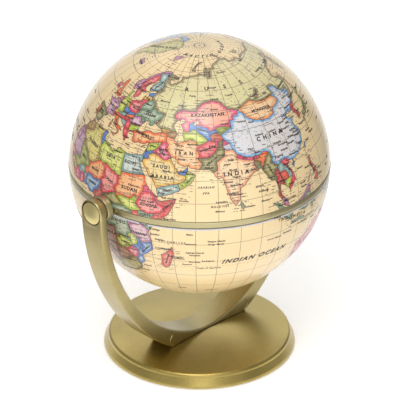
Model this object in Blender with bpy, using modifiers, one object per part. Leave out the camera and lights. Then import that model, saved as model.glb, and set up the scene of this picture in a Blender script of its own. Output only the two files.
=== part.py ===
"""Desktop globe on a U-shaped stand.

The ball is two moulded shells on a polar axle. The axle runs in a bridge across a thin
metal ring at the equator, and the ring tilts on two pivots at the ends of the stand's arm.

The script works in millimetres and scales to metres where meshes are made. The origin is
the middle of the underside, +Z is up and X is the tilting axis.
"""
import math

import bmesh
import bpy
from mathutils import Matrix, Vector

MM = 0.001
GAP = 0.3                       # left between pieces that touch
SEGMENTS = 48                   # sides of a large round piece
SMALL_SEGMENTS = 16             # sides of a small round piece

# Ball
BALL_RADIUS = 53.0
BALL_HEIGHT = 84.0              # its centre above the table
SHELL_WALL = 1.8
RING_HALF_HEIGHT = 1.2
NORTH_RIM = RING_HALF_HEIGHT + GAP
SOUTH_RIM = RING_HALF_HEIGHT + 2 * GAP
SHELL_BOSS_RADIUS = 4.6
SHELL_BOSS_END = 42.0
POLE_RECESS_RADIUS = 2.3
POLE_RECESS_FLOOR = 50.0
SHELL_STEPS = 12                # rings of faces from a pole to its rim

# Polar axle and what holds it
AXLE_RADIUS = 2.0
AXLE_HALF = 47.2
AXLE_BORE_FLOOR = 41.0          # how far in the bore at each end reaches
AXLE_SCREW_RADIUS = 0.9
AXLE_SCREW_TIP = 42.0
AXLE_HEAD_HEIGHT = 0.9
AXLE_HEAD_CHAMFER = (0.4, 0.5)  # inwards and down
HUB_RADIUS = 6.0
HUB_HALF = 6.0
HUB_BORE = 3.3
BUSH_SLEEVE_END = 1.0
BUSH_FLANGE_RADIUS = 5.0
BUSH_FLANGE = 1.0
CLIP_RADIUS = 4.5
CLIP_THICKNESS = 1.0

# Equator ring and its bridge
RING_RADIUS = 53.2
RING_INNER = 49.8
RING_CROWN = 0.12
BOSS_RADIUS = 5.2
BOSS_BACK = 53.6                # distances along the tilting axis, from the ball's centre
BOSS_FACE = 56.3
NECK_HALF_WIDTH = 4.0           # of the block that joins a boss to the band
NECK_OVERLAP = (1.0, 0.5)       # into the band and into the boss
LUG_INNER = 44.0
LUG_HALF_WIDTH = 5.0
BRIDGE_HALF_LENGTH = 49.2
BRIDGE_THICKNESS = 2.0
RIB_HALF_WIDTH = 1.0
BRIDGE_SCREW_PLACE = 46.8
BRIDGE_SCREW_RADIUS = 1.2
BRIDGE_SCREW_SHORT = 0.1        # kept back from the lug's lower face
BRIDGE_HEAD_RADIUS = 2.3
BRIDGE_HEAD_HEIGHT = 1.3
BRIDGE_HEAD_CHAMFER = (0.5, 0.6)

# Arm
ARM_WIDTH = 11.5
ARM_OUTER = 60.9
ARM_INNER = 57.4
ARM_OUTER_DEPTH = 82.0          # depths of the two curves below the pivots
ARM_INNER_DEPTH = 73.9
ARM_POWER = 1.865               # 2 would be an ellipse
ARM_EDGE = 0.45
ARM_STEPS = 30                  # straight pieces in each curve
EYE_STEPS = 16
FOOT_HALF = 20.9
FOOT_BOTTOM = 6.7

# Pivots, as distances along the tilting axis
CAP_RECESS_RADIUS = 5.15
CAP_RECESS_FLOOR = 58.6
CAP_FACE = 61.1
CAP_THICKNESS = 1.1
CAP_RISE = 0.45
CAP_RIM = 0.15
PIVOT_SEGMENTS = 32
PIVOT_BORE = 2.6
PIVOT_FLANGE_RADIUS = 3.8
PIVOT_SCREW_RADIUS = 1.5
PIVOT_HEAD_RADIUS = 3.4
PIVOT_HEAD_HEIGHT = 0.8

# Base
BASE_TOP = 9.2                  # the top is a shallow dome
BASE_SHOULDER = 6.1
BASE_TOP_RADIUS = 37.9
BASE_FOOT_RADIUS = 39.7
BASE_UNDERSIDE = 0.6
BASE_ROUND = 1.3                # radius of the rounded shoulder
BASE_FOOT_CHAMFER = (0.5, 0.7)
PAD_RECESS_RADIUS = 36.5
PAD_THICKNESS = 1.2
SLOT_FLOOR = 6.4
ARM_SCREW_PLACE = 12.0
ARM_SCREW_RADIUS = 1.5
ARM_SCREW_TOP = 10.6
ARM_HEAD_RADIUS = 2.8
ARM_WASHER_RADIUS = 3.6
ARM_WASHER_THICKNESS = 0.5
COUNTERBORE_RADIUS = 4.0
COUNTERBORE_TOP = 4.4

# Plain colours of the looks: colour, roughness, metallic
SATIN_GOLD = ((0.46, 0.38, 0.16), 0.38, 0.85)
MAP_CREAM = ((0.91, 0.71, 0.42), 0.30, 0.0)
STEEL = ((0.62, 0.62, 0.60), 0.30, 1.0)
WHITE_NYLON = ((0.80, 0.79, 0.74), 0.45, 0.0)
BLACK_PLASTIC = ((0.03, 0.03, 0.03), 0.50, 0.0)
BLACK_FOAM = ((0.02, 0.02, 0.02), 0.90, 0.0)


# ---------------------------------------------------------------- scene and materials

def clear_scene():
    for existing in list(bpy.data.objects):
        bpy.data.objects.remove(existing, do_unlink=True)


def new_collection(name):
    collection = bpy.data.collections.new(name)
    bpy.context.scene.collection.children.link(collection)
    return collection


def new_material(name, colour, roughness, metallic):
    material = bpy.data.materials.new(name)
    material.use_nodes = True
    shader = material.node_tree.nodes["Principled BSDF"]
    shader.inputs["Base Color"].default_value = (*colour, 1.0)
    shader.inputs["Roughness"].default_value = roughness
    shader.inputs["Metallic"].default_value = metallic
    return material


def new_axis(name, parent=None):
    """An empty at the ball's centre, which a moving group of pieces hangs on."""
    axis = bpy.data.objects.new(name, None)
    parts.objects.link(axis)
    if parent is None:
        axis.location = (0, 0, BALL_HEIGHT * MM)
    axis.parent = parent
    return axis


def add_part(name, mesh, look, parent=None):
    colour, roughness, metallic = look
    part = bpy.data.objects.new(name, mesh)
    part.data.materials.append(new_material(name, colour, roughness, metallic))
    part.parent = parent
    parts.objects.link(part)
    return part


def add_cutter(name, mesh, parent=None):
    cutter = bpy.data.objects.new(name, mesh)
    cutter.hide_render = True
    cutter.display_type = 'WIRE'
    cutter.parent = parent
    cutters.objects.link(cutter)
    return cutter


def combine(part, operation, tools):
    """Join the tools to the part, or cut them from it, in one step."""
    group = bpy.data.collections.new(f"{part.name}_{operation.lower()}")
    cutters.children.link(group)
    for tool in tools:
        group.objects.link(tool)
    boolean = part.modifiers.new(operation.lower(), 'BOOLEAN')
    boolean.operation = operation
    boolean.operand_type = 'COLLECTION'
    boolean.collection = group
    boolean.solver = 'EXACT'


# ---------------------------------------------------------------- shapes

def shade(mesh, angle=40):
    mesh.shade_smooth()
    mesh.set_sharp_from_angle(angle=math.radians(angle))
    return mesh


def turned(profile, closed=True, segments=SMALL_SEGMENTS):
    """A solid of revolution about Z. The profile runs down its outer side."""
    mesh = bpy.data.meshes.new("turned")
    points = [(radius * MM, 0, height * MM) for radius, height in profile]
    edges = [(i, i + 1) for i in range(len(points) - 1)]
    if closed:
        edges.append((len(points) - 1, 0))
    mesh.from_pydata(points, edges, [])
    outline = bpy.data.objects.new("outline", mesh)
    cutters.objects.link(outline)
    screw = outline.modifiers.new("turn", 'SCREW')
    screw.steps = segments
    screw.render_steps = segments
    screw.use_merge_vertices = True
    screw.merge_threshold = 0.00001
    return shade(evaluated(outline))


def evaluated(source):
    """The mesh of an object with its modifiers applied; the object is removed."""
    bpy.context.view_layer.update()
    graph = bpy.context.evaluated_depsgraph_get()
    mesh = bpy.data.meshes.new_from_object(source.evaluated_get(graph))
    mesh.transform(source.matrix_world)
    bpy.data.objects.remove(source, do_unlink=True)
    return mesh


def disc(radius, low, high, segments=SMALL_SEGMENTS):
    """A solid cylinder about Z between two heights."""
    return turned([(0, high), (radius, high), (radius, low), (0, low)], False, segments)


def washer(inner, outer, low, high, segments=SMALL_SEGMENTS):
    return turned([(inner, high), (outer, high), (outer, low), (inner, low)], True, segments)


def box(low, high):
    shape = bmesh.new()
    bmesh.ops.create_cube(shape, size=MM)
    size = Vector(high) - Vector(low)
    middle = (Vector(high) + Vector(low)) / 2 * MM
    bmesh.ops.transform(shape, verts=shape.verts,
                        matrix=Matrix.Translation(middle) @ Matrix.Diagonal((*size, 1)))
    mesh = bpy.data.meshes.new("box")
    shape.to_mesh(mesh)
    shape.free()
    return mesh


def slab(outline, thickness, turn):
    """A flat outline in XY, given thickness about Z and then turned into place."""
    curve = bpy.data.curves.new("outline", 'CURVE')
    curve.dimensions = '2D'
    curve.fill_mode = 'BOTH'
    curve.extrude = thickness / 2 * MM
    spline = curve.splines.new('POLY')
    spline.points.add(len(outline) - 1)
    for point, (x, y) in zip(spline.points, outline):
        point.co = (x * MM, y * MM, 0, 1)
    spline.use_cyclic_u = True
    flat = bpy.data.objects.new("outline", curve)
    cutters.objects.link(flat)
    mesh = evaluated(flat)
    shape = bmesh.new()
    shape.from_mesh(mesh)
    bmesh.ops.remove_doubles(shape, verts=shape.verts, dist=0.00001)
    bmesh.ops.recalc_face_normals(shape, faces=shape.faces)
    bmesh.ops.transform(shape, verts=shape.verts, matrix=turn)
    shape.to_mesh(mesh)
    shape.free()
    return mesh


def sides():
    """The two ends of the tilting axis: a name and the turn from +Z to that end."""
    yield "left", Matrix.Rotation(math.radians(-90), 4, 'Y')
    yield "right", Matrix.Rotation(math.radians(90), 4, 'Y')


def moved(mesh, matrix):
    mesh.transform(matrix)
    return mesh


# ---------------------------------------------------------------- base

def dome_height(radius):
    """Height of the base's top at a distance from its middle."""
    return BASE_TOP - (BASE_TOP - BASE_SHOULDER) * (radius / BASE_TOP_RADIUS) ** 2


def base_profile():
    """Down from the middle of the dome, round the shoulder and under to the pad's recess."""
    shoulder = BASE_TOP_RADIUS - BASE_ROUND
    points = [(radius, dome_height(radius)) for radius in (0, 9, 18, 27, shoulder)]
    middle_height = points[-1][1] - BASE_ROUND
    for step in range(1, 5):
        angle = math.radians(90 - 20 * step)
        points.append((shoulder + BASE_ROUND * math.cos(angle),
                       middle_height + BASE_ROUND * math.sin(angle)))
    inwards, upwards = BASE_FOOT_CHAMFER
    points.append((BASE_FOOT_RADIUS, BASE_UNDERSIDE + upwards))
    points.append((BASE_FOOT_RADIUS - inwards, BASE_UNDERSIDE))
    points.append((PAD_RECESS_RADIUS, BASE_UNDERSIDE))
    points.append((PAD_RECESS_RADIUS, PAD_THICKNESS + GAP))
    points.append((0, PAD_THICKNESS + GAP))
    return points


def add_base():
    """The heavy disc, with a slot for the arm's foot and two stepped holes beneath."""
    base = add_part("base_disc", turned(base_profile(), False, SEGMENTS), SATIN_GOLD)
    reach = FOOT_HALF + GAP
    width = ARM_WIDTH / 2 + GAP
    slot = box((-reach, -width, SLOT_FLOOR), (reach, width, BASE_TOP + 1))
    tools = [add_cutter("foot_slot", slot)]
    recess_floor = PAD_THICKNESS + GAP
    for index, x in enumerate((-ARM_SCREW_PLACE, ARM_SCREW_PLACE)):
        hole = turned([(0, SLOT_FLOOR + 1), (ARM_SCREW_RADIUS + GAP, SLOT_FLOOR + 1),
                       (ARM_SCREW_RADIUS + GAP, COUNTERBORE_TOP), (COUNTERBORE_RADIUS, COUNTERBORE_TOP),
                       (COUNTERBORE_RADIUS, recess_floor - 1), (0, recess_floor - 1)], False)
        cutter = add_cutter(f"arm_screw_hole_{index + 1}", hole)
        cutter.location = (x * MM, 0, 0)
        tools.append(cutter)
    combine(base, 'DIFFERENCE', tools)
    add_part("base_pad", disc(PAD_RECESS_RADIUS - GAP, 0, PAD_THICKNESS, SEGMENTS), BLACK_FOAM)


def add_arm_screws():
    """Two screws from beneath hold the arm's foot, each on a washer."""
    washer_top = COUNTERBORE_TOP - GAP
    washer_low = washer_top - ARM_WASHER_THICKNESS
    head_top = washer_low - GAP
    head_low = PAD_THICKNESS + 2 * GAP
    profile = [(0, ARM_SCREW_TOP), (ARM_SCREW_RADIUS, ARM_SCREW_TOP), (ARM_SCREW_RADIUS, head_top),
               (ARM_HEAD_RADIUS, head_top), (ARM_HEAD_RADIUS, head_low), (0, head_low)]
    for side, x in (("left", -ARM_SCREW_PLACE), ("right", ARM_SCREW_PLACE)):
        screw = add_part(f"arm_screw_{side}", turned(profile, False), STEEL)
        flat_ring = washer(ARM_SCREW_RADIUS + GAP, ARM_WASHER_RADIUS, washer_low, washer_top)
        ring = add_part(f"arm_washer_{side}", flat_ring, STEEL)
        screw.location = (x * MM, 0, 0)
        ring.location = (x * MM, 0, 0)


# ---------------------------------------------------------------- arm

def arm_curve(half_span, depth, lowest):
    """Points of one curve of the arm, from its left end down and up to its right end."""
    points = []
    for step in range(ARM_STEPS + 1):
        angle = math.pi * step / ARM_STEPS
        x = -half_span * math.copysign(abs(math.cos(angle)) ** (2 / ARM_POWER), math.cos(angle))
        z = BALL_HEIGHT - depth * math.sin(angle) ** (2 / ARM_POWER)
        if z > lowest:
            points.append((x, z))
    return points


def arm_outline():
    """Inner curve, then back along the outer one, which the flat foot cuts off."""
    top = BALL_HEIGHT + ARM_WIDTH
    inner = arm_curve(ARM_INNER, ARM_INNER_DEPTH, 0)
    outer = arm_curve(ARM_OUTER, ARM_OUTER_DEPTH, dome_height(FOOT_HALF))
    left = [point for point in outer if point[0] < -FOOT_HALF]
    right = [point for point in outer if point[0] > FOOT_HALF]
    ratio = 1 - (FOOT_HALF / ARM_OUTER) ** ARM_POWER
    entry = BALL_HEIGHT - ARM_OUTER_DEPTH * ratio ** (1 / ARM_POWER)
    foot = [(FOOT_HALF, entry), (FOOT_HALF, FOOT_BOTTOM), (-FOOT_HALF, FOOT_BOTTOM), (-FOOT_HALF, entry)]
    return ([(-ARM_INNER, top)] + inner + [(ARM_INNER, top), (ARM_OUTER, top)]
            + right[::-1] + foot + left[::-1] + [(-ARM_OUTER, top)])


def eye_outline():
    """The arm seen along the tilting axis: straight sides and a round top."""
    radius = ARM_WIDTH / 2
    points = [(-radius, 0), (radius, 0)]
    for step in range(EYE_STEPS + 1):
        angle = math.pi * step / EYE_STEPS
        points.append((radius * math.cos(angle), BALL_HEIGHT + radius * math.sin(angle)))
    return points


def add_arm():
    """A deep U whose ends are round eyes, each with a bore and a recess for its cap."""
    upright = Matrix.Rotation(math.radians(90), 4, 'X')
    across = Matrix.Rotation(math.radians(90), 4, 'Z') @ upright
    arm = add_part("support_arm", slab(arm_outline(), ARM_WIDTH, upright), SATIN_GOLD)
    envelope = add_cutter("arm_envelope", slab(eye_outline(), 3 * ARM_OUTER, across))
    combine(arm, 'INTERSECT', [envelope])
    soften = arm.modifiers.new("edges", 'BEVEL')
    soften.width = ARM_EDGE * MM
    soften.segments = 1
    soften.limit_method = 'ANGLE'
    soften.angle_limit = math.radians(50)
    tools = []
    for side, turn in sides():
        recess = turned([(0, ARM_OUTER + 2), (CAP_RECESS_RADIUS, ARM_OUTER + 2),
                         (CAP_RECESS_RADIUS, CAP_RECESS_FLOOR), (PIVOT_BORE, CAP_RECESS_FLOOR),
                         (PIVOT_BORE, ARM_INNER - 2), (0, ARM_INNER - 2)], False, PIVOT_SEGMENTS)
        cutter = add_cutter(f"eye_recess_{side}", moved(recess, turn))
        cutter.location = (0, 0, BALL_HEIGHT * MM)
        tools.append(cutter)
    for index, x in enumerate((-ARM_SCREW_PLACE, ARM_SCREW_PLACE)):
        hole = disc(ARM_SCREW_RADIUS + GAP, FOOT_BOTTOM - 1, ARM_SCREW_TOP + GAP)
        cutter = add_cutter(f"foot_hole_{index + 1}", hole)
        cutter.location = (x * MM, 0, 0)
        tools.append(cutter)
    combine(arm, 'DIFFERENCE', tools)
    shade(arm.data)


# ---------------------------------------------------------------- pivots

def cap_profile():
    """A thin button, slightly domed."""
    radius = CAP_RECESS_RADIUS - GAP
    back = CAP_FACE - CAP_THICKNESS
    dome = [(radius * part, CAP_FACE - CAP_RISE * part ** 2) for part in (0, 0.35, 0.65, 0.9)]
    return dome + [(radius, CAP_FACE - CAP_RISE - CAP_RIM), (radius, back), (0, back)]


def screw_profile():
    """A flat head in the recess, and a shank that reaches into the ring's boss."""
    head_back = CAP_RECESS_FLOOR + GAP
    head_face = head_back + PIVOT_HEAD_HEIGHT
    tip = BOSS_BACK + 2 * GAP
    return [(0, head_face), (PIVOT_HEAD_RADIUS, head_face), (PIVOT_HEAD_RADIUS, head_back),
            (PIVOT_SCREW_RADIUS, head_back), (PIVOT_SCREW_RADIUS, tip), (0, tip)]


def bush_profile():
    """A flanged bush: the flange keeps the ring's boss off the arm."""
    bore = PIVOT_SCREW_RADIUS + GAP
    sleeve = PIVOT_BORE - GAP
    flange_back = BOSS_FACE + GAP
    flange_front = ARM_INNER - GAP
    return [(sleeve, CAP_RECESS_FLOOR), (sleeve, flange_front), (PIVOT_FLANGE_RADIUS, flange_front),
            (PIVOT_FLANGE_RADIUS, flange_back), (bore, flange_back), (bore, CAP_RECESS_FLOOR)]


def add_pivots(ring_axis):
    """For each end: a button cap and a bush in the arm, and a screw that turns with the ring."""
    for side, turn in sides():
        button = turned(cap_profile(), False, PIVOT_SEGMENTS)
        cap = add_part(f"pivot_cap_{side}", moved(button, turn), SATIN_GOLD)
        bush = add_part(f"pivot_bush_{side}", moved(turned(bush_profile()), turn), WHITE_NYLON)
        for piece in (cap, bush):
            piece.location = (0, 0, BALL_HEIGHT * MM)
        add_part(f"pivot_screw_{side}", moved(turned(screw_profile(), False), turn), STEEL, ring_axis)


# ---------------------------------------------------------------- equator ring

def ring_profile():
    """The band's section: the outer face bulges a little."""
    outer = [(RING_RADIUS - RING_CROWN * part ** 2, RING_HALF_HEIGHT * part)
             for part in (1, 0.5, 0, -0.5, -1)]
    return outer + [(RING_INNER, -RING_HALF_HEIGHT), (RING_INNER, RING_HALF_HEIGHT)]


def add_ring(ring_axis):
    """The gold band, with a boss at each pivot and two lugs inside for the bridge."""
    ring = add_part("equator_ring", turned(ring_profile(), True, 64), SATIN_GOLD, ring_axis)
    solids = []
    holes = []
    inner_overlap, outer_overlap = NECK_OVERLAP
    for side, turn in sides():
        boss = disc(BOSS_RADIUS, BOSS_BACK, BOSS_FACE, PIVOT_SEGMENTS)
        neck = box((-RING_HALF_HEIGHT, -NECK_HALF_WIDTH, RING_RADIUS - inner_overlap),
                   (RING_HALF_HEIGHT, NECK_HALF_WIDTH, BOSS_BACK + outer_overlap))
        bore = disc(PIVOT_SCREW_RADIUS + GAP, BOSS_BACK + GAP, BOSS_FACE + 1)
        solids.append(add_cutter(f"boss_{side}", moved(boss, turn), ring_axis))
        solids.append(add_cutter(f"neck_{side}", moved(neck, turn), ring_axis))
        holes.append(add_cutter(f"boss_bore_{side}", moved(bore, turn), ring_axis))
    for side, sign in (("front", -1), ("back", 1)):
        near, far = sorted((sign * LUG_INNER, sign * (RING_INNER + 1)))
        lug = box((-LUG_HALF_WIDTH, near, -RING_HALF_HEIGHT), (LUG_HALF_WIDTH, far, 0))
        bore = disc(BRIDGE_SCREW_RADIUS + GAP, -RING_HALF_HEIGHT - 1, 1)
        hole = add_cutter(f"lug_hole_{side}", bore, ring_axis)
        hole.location = (0, sign * BRIDGE_SCREW_PLACE * MM, 0)
        solids.append(add_cutter(f"lug_{side}", lug, ring_axis))
        holes.append(hole)
    combine(ring, 'UNION', solids)
    combine(ring, 'DIFFERENCE', holes)


def add_bridge(ring_axis):
    """A bar across the ring with a hub in the middle, which the polar axle runs in."""
    bar = box((-LUG_HALF_WIDTH, -BRIDGE_HALF_LENGTH, GAP),
              (LUG_HALF_WIDTH, BRIDGE_HALF_LENGTH, GAP + BRIDGE_THICKNESS))
    rib = box((-RIB_HALF_WIDTH, -LUG_INNER + 1, GAP + BRIDGE_THICKNESS - 0.5),
              (RIB_HALF_WIDTH, LUG_INNER - 1, HUB_HALF - 1))
    bridge = add_part("axle_bridge", bar, BLACK_PLASTIC, ring_axis)
    hub = add_cutter("hub", disc(HUB_RADIUS, -HUB_HALF, HUB_HALF), ring_axis)
    combine(bridge, 'UNION', [hub, add_cutter("rib", rib, ring_axis)])
    holes = [add_cutter("hub_bore", disc(HUB_BORE, -HUB_HALF - 1, HUB_HALF + 1), ring_axis)]
    for side, sign in (("front", -1), ("back", 1)):
        bore = disc(BRIDGE_SCREW_RADIUS + GAP, 0, BRIDGE_THICKNESS + 1)
        hole = add_cutter(f"bridge_hole_{side}", bore, ring_axis)
        hole.location = (0, sign * BRIDGE_SCREW_PLACE * MM, 0)
        holes.append(hole)
    combine(bridge, 'DIFFERENCE', holes)


def add_bridge_screws(ring_axis):
    """A screw at each end of the bridge, down into the lug beneath it."""
    seat = GAP + BRIDGE_THICKNESS + GAP
    top = seat + BRIDGE_HEAD_HEIGHT
    tip = -RING_HALF_HEIGHT + BRIDGE_SCREW_SHORT
    inwards, down = BRIDGE_HEAD_CHAMFER
    profile = [(0, top), (BRIDGE_HEAD_RADIUS - inwards, top), (BRIDGE_HEAD_RADIUS, top - down),
               (BRIDGE_HEAD_RADIUS, seat), (BRIDGE_SCREW_RADIUS, seat), (BRIDGE_SCREW_RADIUS, tip), (0, tip)]
    for side, sign in (("front", -1), ("back", 1)):
        screw = add_part(f"bridge_screw_{side}", turned(profile, False), STEEL, ring_axis)
        screw.location = (0, sign * BRIDGE_SCREW_PLACE * MM, 0)


def add_axle_bushes(ring_axis):
    """A flanged bush in each end of the hub."""
    bore = AXLE_RADIUS + GAP
    sleeve = HUB_BORE - GAP
    seat = HUB_HALF + GAP
    face = seat + BUSH_FLANGE
    profile = [(bore, face), (BUSH_FLANGE_RADIUS, face), (BUSH_FLANGE_RADIUS, seat),
               (sleeve, seat), (sleeve, BUSH_SLEEVE_END), (bore, BUSH_SLEEVE_END)]
    upper = turned(profile)
    lower = moved(turned(profile), Matrix.Rotation(math.pi, 4, 'X'))
    add_part("axle_bush_upper", upper, WHITE_NYLON, ring_axis)
    add_part("axle_bush_lower", lower, WHITE_NYLON, ring_axis)


# ---------------------------------------------------------------- ball

def sphere_height(radius, distance):
    """Height of a sphere's surface at a distance from its axis."""
    return math.sqrt(radius ** 2 - distance ** 2)


def shell_profile(rim):
    """Half of the ball's wall, with an inner boss for the axle and a recess at the pole."""
    inner = BALL_RADIUS - SHELL_WALL
    inner_steps = SHELL_STEPS // 2
    axle_top = AXLE_HALF + GAP
    first = math.acos(POLE_RECESS_RADIUS / BALL_RADIUS)
    last = math.asin(rim / BALL_RADIUS)
    points = []
    for step in range(SHELL_STEPS + 1):
        angle = first + (last - first) * step / SHELL_STEPS
        points.append((BALL_RADIUS * math.cos(angle), BALL_RADIUS * math.sin(angle)))
    first = math.asin(rim / inner)
    last = math.acos(SHELL_BOSS_RADIUS / inner)
    for step in range(inner_steps + 1):
        angle = first + (last - first) * step / inner_steps
        points.append((inner * math.cos(angle), inner * math.sin(angle)))
    bore = AXLE_RADIUS + GAP
    screw_bore = AXLE_SCREW_RADIUS + GAP
    points += [(SHELL_BOSS_RADIUS, SHELL_BOSS_END), (bore, SHELL_BOSS_END), (bore, axle_top),
               (screw_bore, axle_top), (screw_bore, POLE_RECESS_FLOOR),
               (POLE_RECESS_RADIUS, POLE_RECESS_FLOOR)]
    return points


def pole_screw_profile():
    """The head sits on the recess's floor and the shank goes down into the axle."""
    head_back = POLE_RECESS_FLOOR + GAP
    head_top = head_back + AXLE_HEAD_HEIGHT
    radius = POLE_RECESS_RADIUS - GAP
    inwards, down = AXLE_HEAD_CHAMFER
    return [(0, head_top), (radius - inwards, head_top), (radius, head_top - down), (radius, head_back),
            (AXLE_SCREW_RADIUS, head_back), (AXLE_SCREW_RADIUS, AXLE_SCREW_TIP), (0, AXLE_SCREW_TIP)]


def pole_cap_profile():
    """A small plug over the screw, flush with the ball."""
    radius = POLE_RECESS_RADIUS - GAP
    back = POLE_RECESS_FLOOR + GAP + AXLE_HEAD_HEIGHT + GAP
    return [(0, BALL_RADIUS), (radius, sphere_height(BALL_RADIUS, radius)), (radius, back), (0, back)]


def axle_profile():
    """A rod with a bore in each end."""
    bore = AXLE_SCREW_RADIUS + GAP
    return [(0, AXLE_BORE_FLOOR), (bore, AXLE_BORE_FLOOR), (bore, AXLE_HALF), (AXLE_RADIUS, AXLE_HALF),
            (AXLE_RADIUS, -AXLE_HALF), (bore, -AXLE_HALF), (bore, -AXLE_BORE_FLOOR), (0, -AXLE_BORE_FLOOR)]


def add_ball(globe_axis):
    """Two shells, each screwed to an end of the axle under a small cap at its pole."""
    add_part("polar_axle", turned(axle_profile(), False), STEEL, globe_axis)
    clip_low = HUB_HALF + GAP + BUSH_FLANGE + GAP
    for half, rim, turn in (("north", NORTH_RIM, Matrix.Identity(4)),
                            ("south", SOUTH_RIM, Matrix.Rotation(math.pi, 4, 'X'))):
        shell = turned(shell_profile(rim), True, SEGMENTS)
        screw = turned(pole_screw_profile(), False)
        cap = turned(pole_cap_profile(), False)
        clip = washer(AXLE_RADIUS + GAP, CLIP_RADIUS, clip_low, clip_low + CLIP_THICKNESS)
        add_part(f"{half}_hemisphere", moved(shell, turn), MAP_CREAM, globe_axis)
        add_part(f"axle_screw_{half}", moved(screw, turn), STEEL, globe_axis)
        add_part(f"pole_cap_{half}", moved(cap, turn), MAP_CREAM, globe_axis)
        add_part(f"axle_clip_{half}", moved(clip, turn), STEEL, globe_axis)


# ---------------------------------------------------------------- build

clear_scene()
parts = new_collection("desktop_globe")
cutters = new_collection("cutters")

add_base()
add_arm_screws()
add_arm()
tilt_axis = new_axis("ring_tilt_axis")
spin_axis = new_axis("globe_spin_axis", tilt_axis)
add_pivots(tilt_axis)
add_ring(tilt_axis)
add_bridge(tilt_axis)
add_bridge_screws(tilt_axis)
add_axle_bushes(tilt_axis)
add_ball(spin_axis)
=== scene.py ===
"""The desktop globe's looks: a printed ball, satin gold metal, light, floor and camera.

Lengths are in millimetres in the code and are scaled to metres where meshes are made. Places on
the map are given as longitude and latitude in degrees.
"""
import math

import bmesh
import bpy
from mathutils import Matrix, Vector, noise
from mathutils.geometry import delaunay_2d_cdt
from mathutils.kdtree import KDTree


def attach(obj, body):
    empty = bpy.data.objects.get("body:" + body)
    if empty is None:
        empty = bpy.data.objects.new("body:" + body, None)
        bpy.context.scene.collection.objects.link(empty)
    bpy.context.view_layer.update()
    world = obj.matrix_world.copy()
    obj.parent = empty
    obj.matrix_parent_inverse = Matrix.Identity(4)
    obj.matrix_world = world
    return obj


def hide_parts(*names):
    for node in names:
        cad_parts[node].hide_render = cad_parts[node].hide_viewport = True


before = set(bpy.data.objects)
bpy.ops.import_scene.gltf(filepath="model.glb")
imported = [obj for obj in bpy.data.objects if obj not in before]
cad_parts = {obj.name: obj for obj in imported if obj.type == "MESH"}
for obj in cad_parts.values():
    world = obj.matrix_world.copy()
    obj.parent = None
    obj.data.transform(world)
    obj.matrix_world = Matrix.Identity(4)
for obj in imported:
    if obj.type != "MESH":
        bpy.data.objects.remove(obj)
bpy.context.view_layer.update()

MM = 0.001
CENTRE = Vector((0, 0, 84.0))   # the ball's centre
BALL_RADIUS = 53.0
MAP_TURN = 163.3                # from longitude to the angle about Z, at rest
SLIP_MIDDLE = 14.0              # longitude about which the printed paper has slipped, and how widely
SLIP_WIDTH = 27.0
SLIP_SOUTH = 5.4                # degrees
SLIP_WEST = 2.4

# Map mesh: steps and clearances in degrees on the flat plan where nothing else is said
OUTLINE_STEP = 0.36             # between points along an outline
OUTLINE_MARGIN = 3              # how far past the rim outlines are still followed
GRID_STEP = 0.82                # between points elsewhere
HEX_ROW = 0.866                 # height of a row of the grid over its step
GRID_CLEARANCE = 0.62           # of a grid step, between grid points and outlines
GRID_RIM_CLEARANCE = 0.4
HOLE_CLEARANCE = 0.5
SIDE_ROW = 0.33                 # mm from an outline to the rows of points beside it
ROW_CLEARANCE = 0.8             # of that, between a row and any other outline
RIM_CLEARANCE = 0.3
RIM_SLIVER = 0.001              # faces this near the rim are outside it
SAME_PLACE = 1e-6               # on the unit ball
MERGE_WITHIN = 1e-5
RIM_POINTS = 720
HOLE_POINTS = 96
COAST_ROUGHNESS = ((0.0050, 7), (0.0046, 21), (0.0040, 50), (0.0026, 95))    # radians and frequency
BORDER_ROUGHNESS = ((0.0014, 9), (0.0022, 27), (0.0018, 60))
OUTLINE_SEED = 3                # for the smooth noise that roughens the outlines
BORDER_OVERRUN = 1.3            # that a border runs on past its ends
SMALL_REGION = 3.0              # square degrees; smaller ones join a neighbour
FAR_FROM_LINES = 9.0            # mm, for the inside of the shells
SMOOTH_ANGLE = 40               # edges sharper than this stay sharp

# Lettering: slant, detail and added weight of each kind, then sizes in mm
COUNTRY_PRINT = (0, 2, 0.04)
SEA_PRINT = (0.45, 3, 0.045)
WIDE_PRINT = (0, 2, 0.03)
TOWN_PRINT = (0, 1, 0.05)
COUNTRY_SIZE = 1.06             # times the height that each name gives
TOWN_HEIGHT = 0.74
TOWN_SPACING = 1.12
CAPITAL_HEIGHT = 0.7            # of the font, at size 1
LETTER_SINK = 0.03
LETTER_PROUD = 0.035

# Shells
SHELL_WALL = 1.8
WALL_STEPS = 8
NORTH_RIM = 1.5                 # heights of the two rims from the ball's centre
SOUTH_RIM = 1.8
POLE_HOLE_RADIUS = 2.3
POLE_HOLE_FLOOR = 50.0
POLE_CAP_GAP = 0.3
POLE_CAP_DOME = 0.96            # of its radius
POLE_CAP_EDGE = 0.1
POLE_CAP_BACK = 51.5
SHELL_BOSS_RADIUS = 4.6
SHELL_BOSS_END = 42.0
AXLE_BORE = 2.3
AXLE_END = 47.5
SCREW_BORE = 1.2

# Base
BASE_TOP = 9.2
BASE_SHOULDER = 6.1
BASE_TOP_RADIUS = 37.9
BASE_EDGE = 1.5
BASE_EDGE_START = 81            # degrees at which that rounding takes over from the dome
BASE_FOOT_RADIUS = 39.7
SKIRT_END = 1.4                 # height at which the flared skirt ends
SKIRT_EDGE = 0.25
BASE_UNDERSIDE = 0.6
HOLLOW_RADIUS = 36.5
HOLLOW_TOP = 1.5
ARM_SCREW_PLACE = 12.0
ARM_SCREW_RADIUS = 1.8
ARM_SCREW_END = 10.9
SCREW_HEAD_RADIUS = 4.0
SCREW_HEAD_TOP = 4.4

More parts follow.
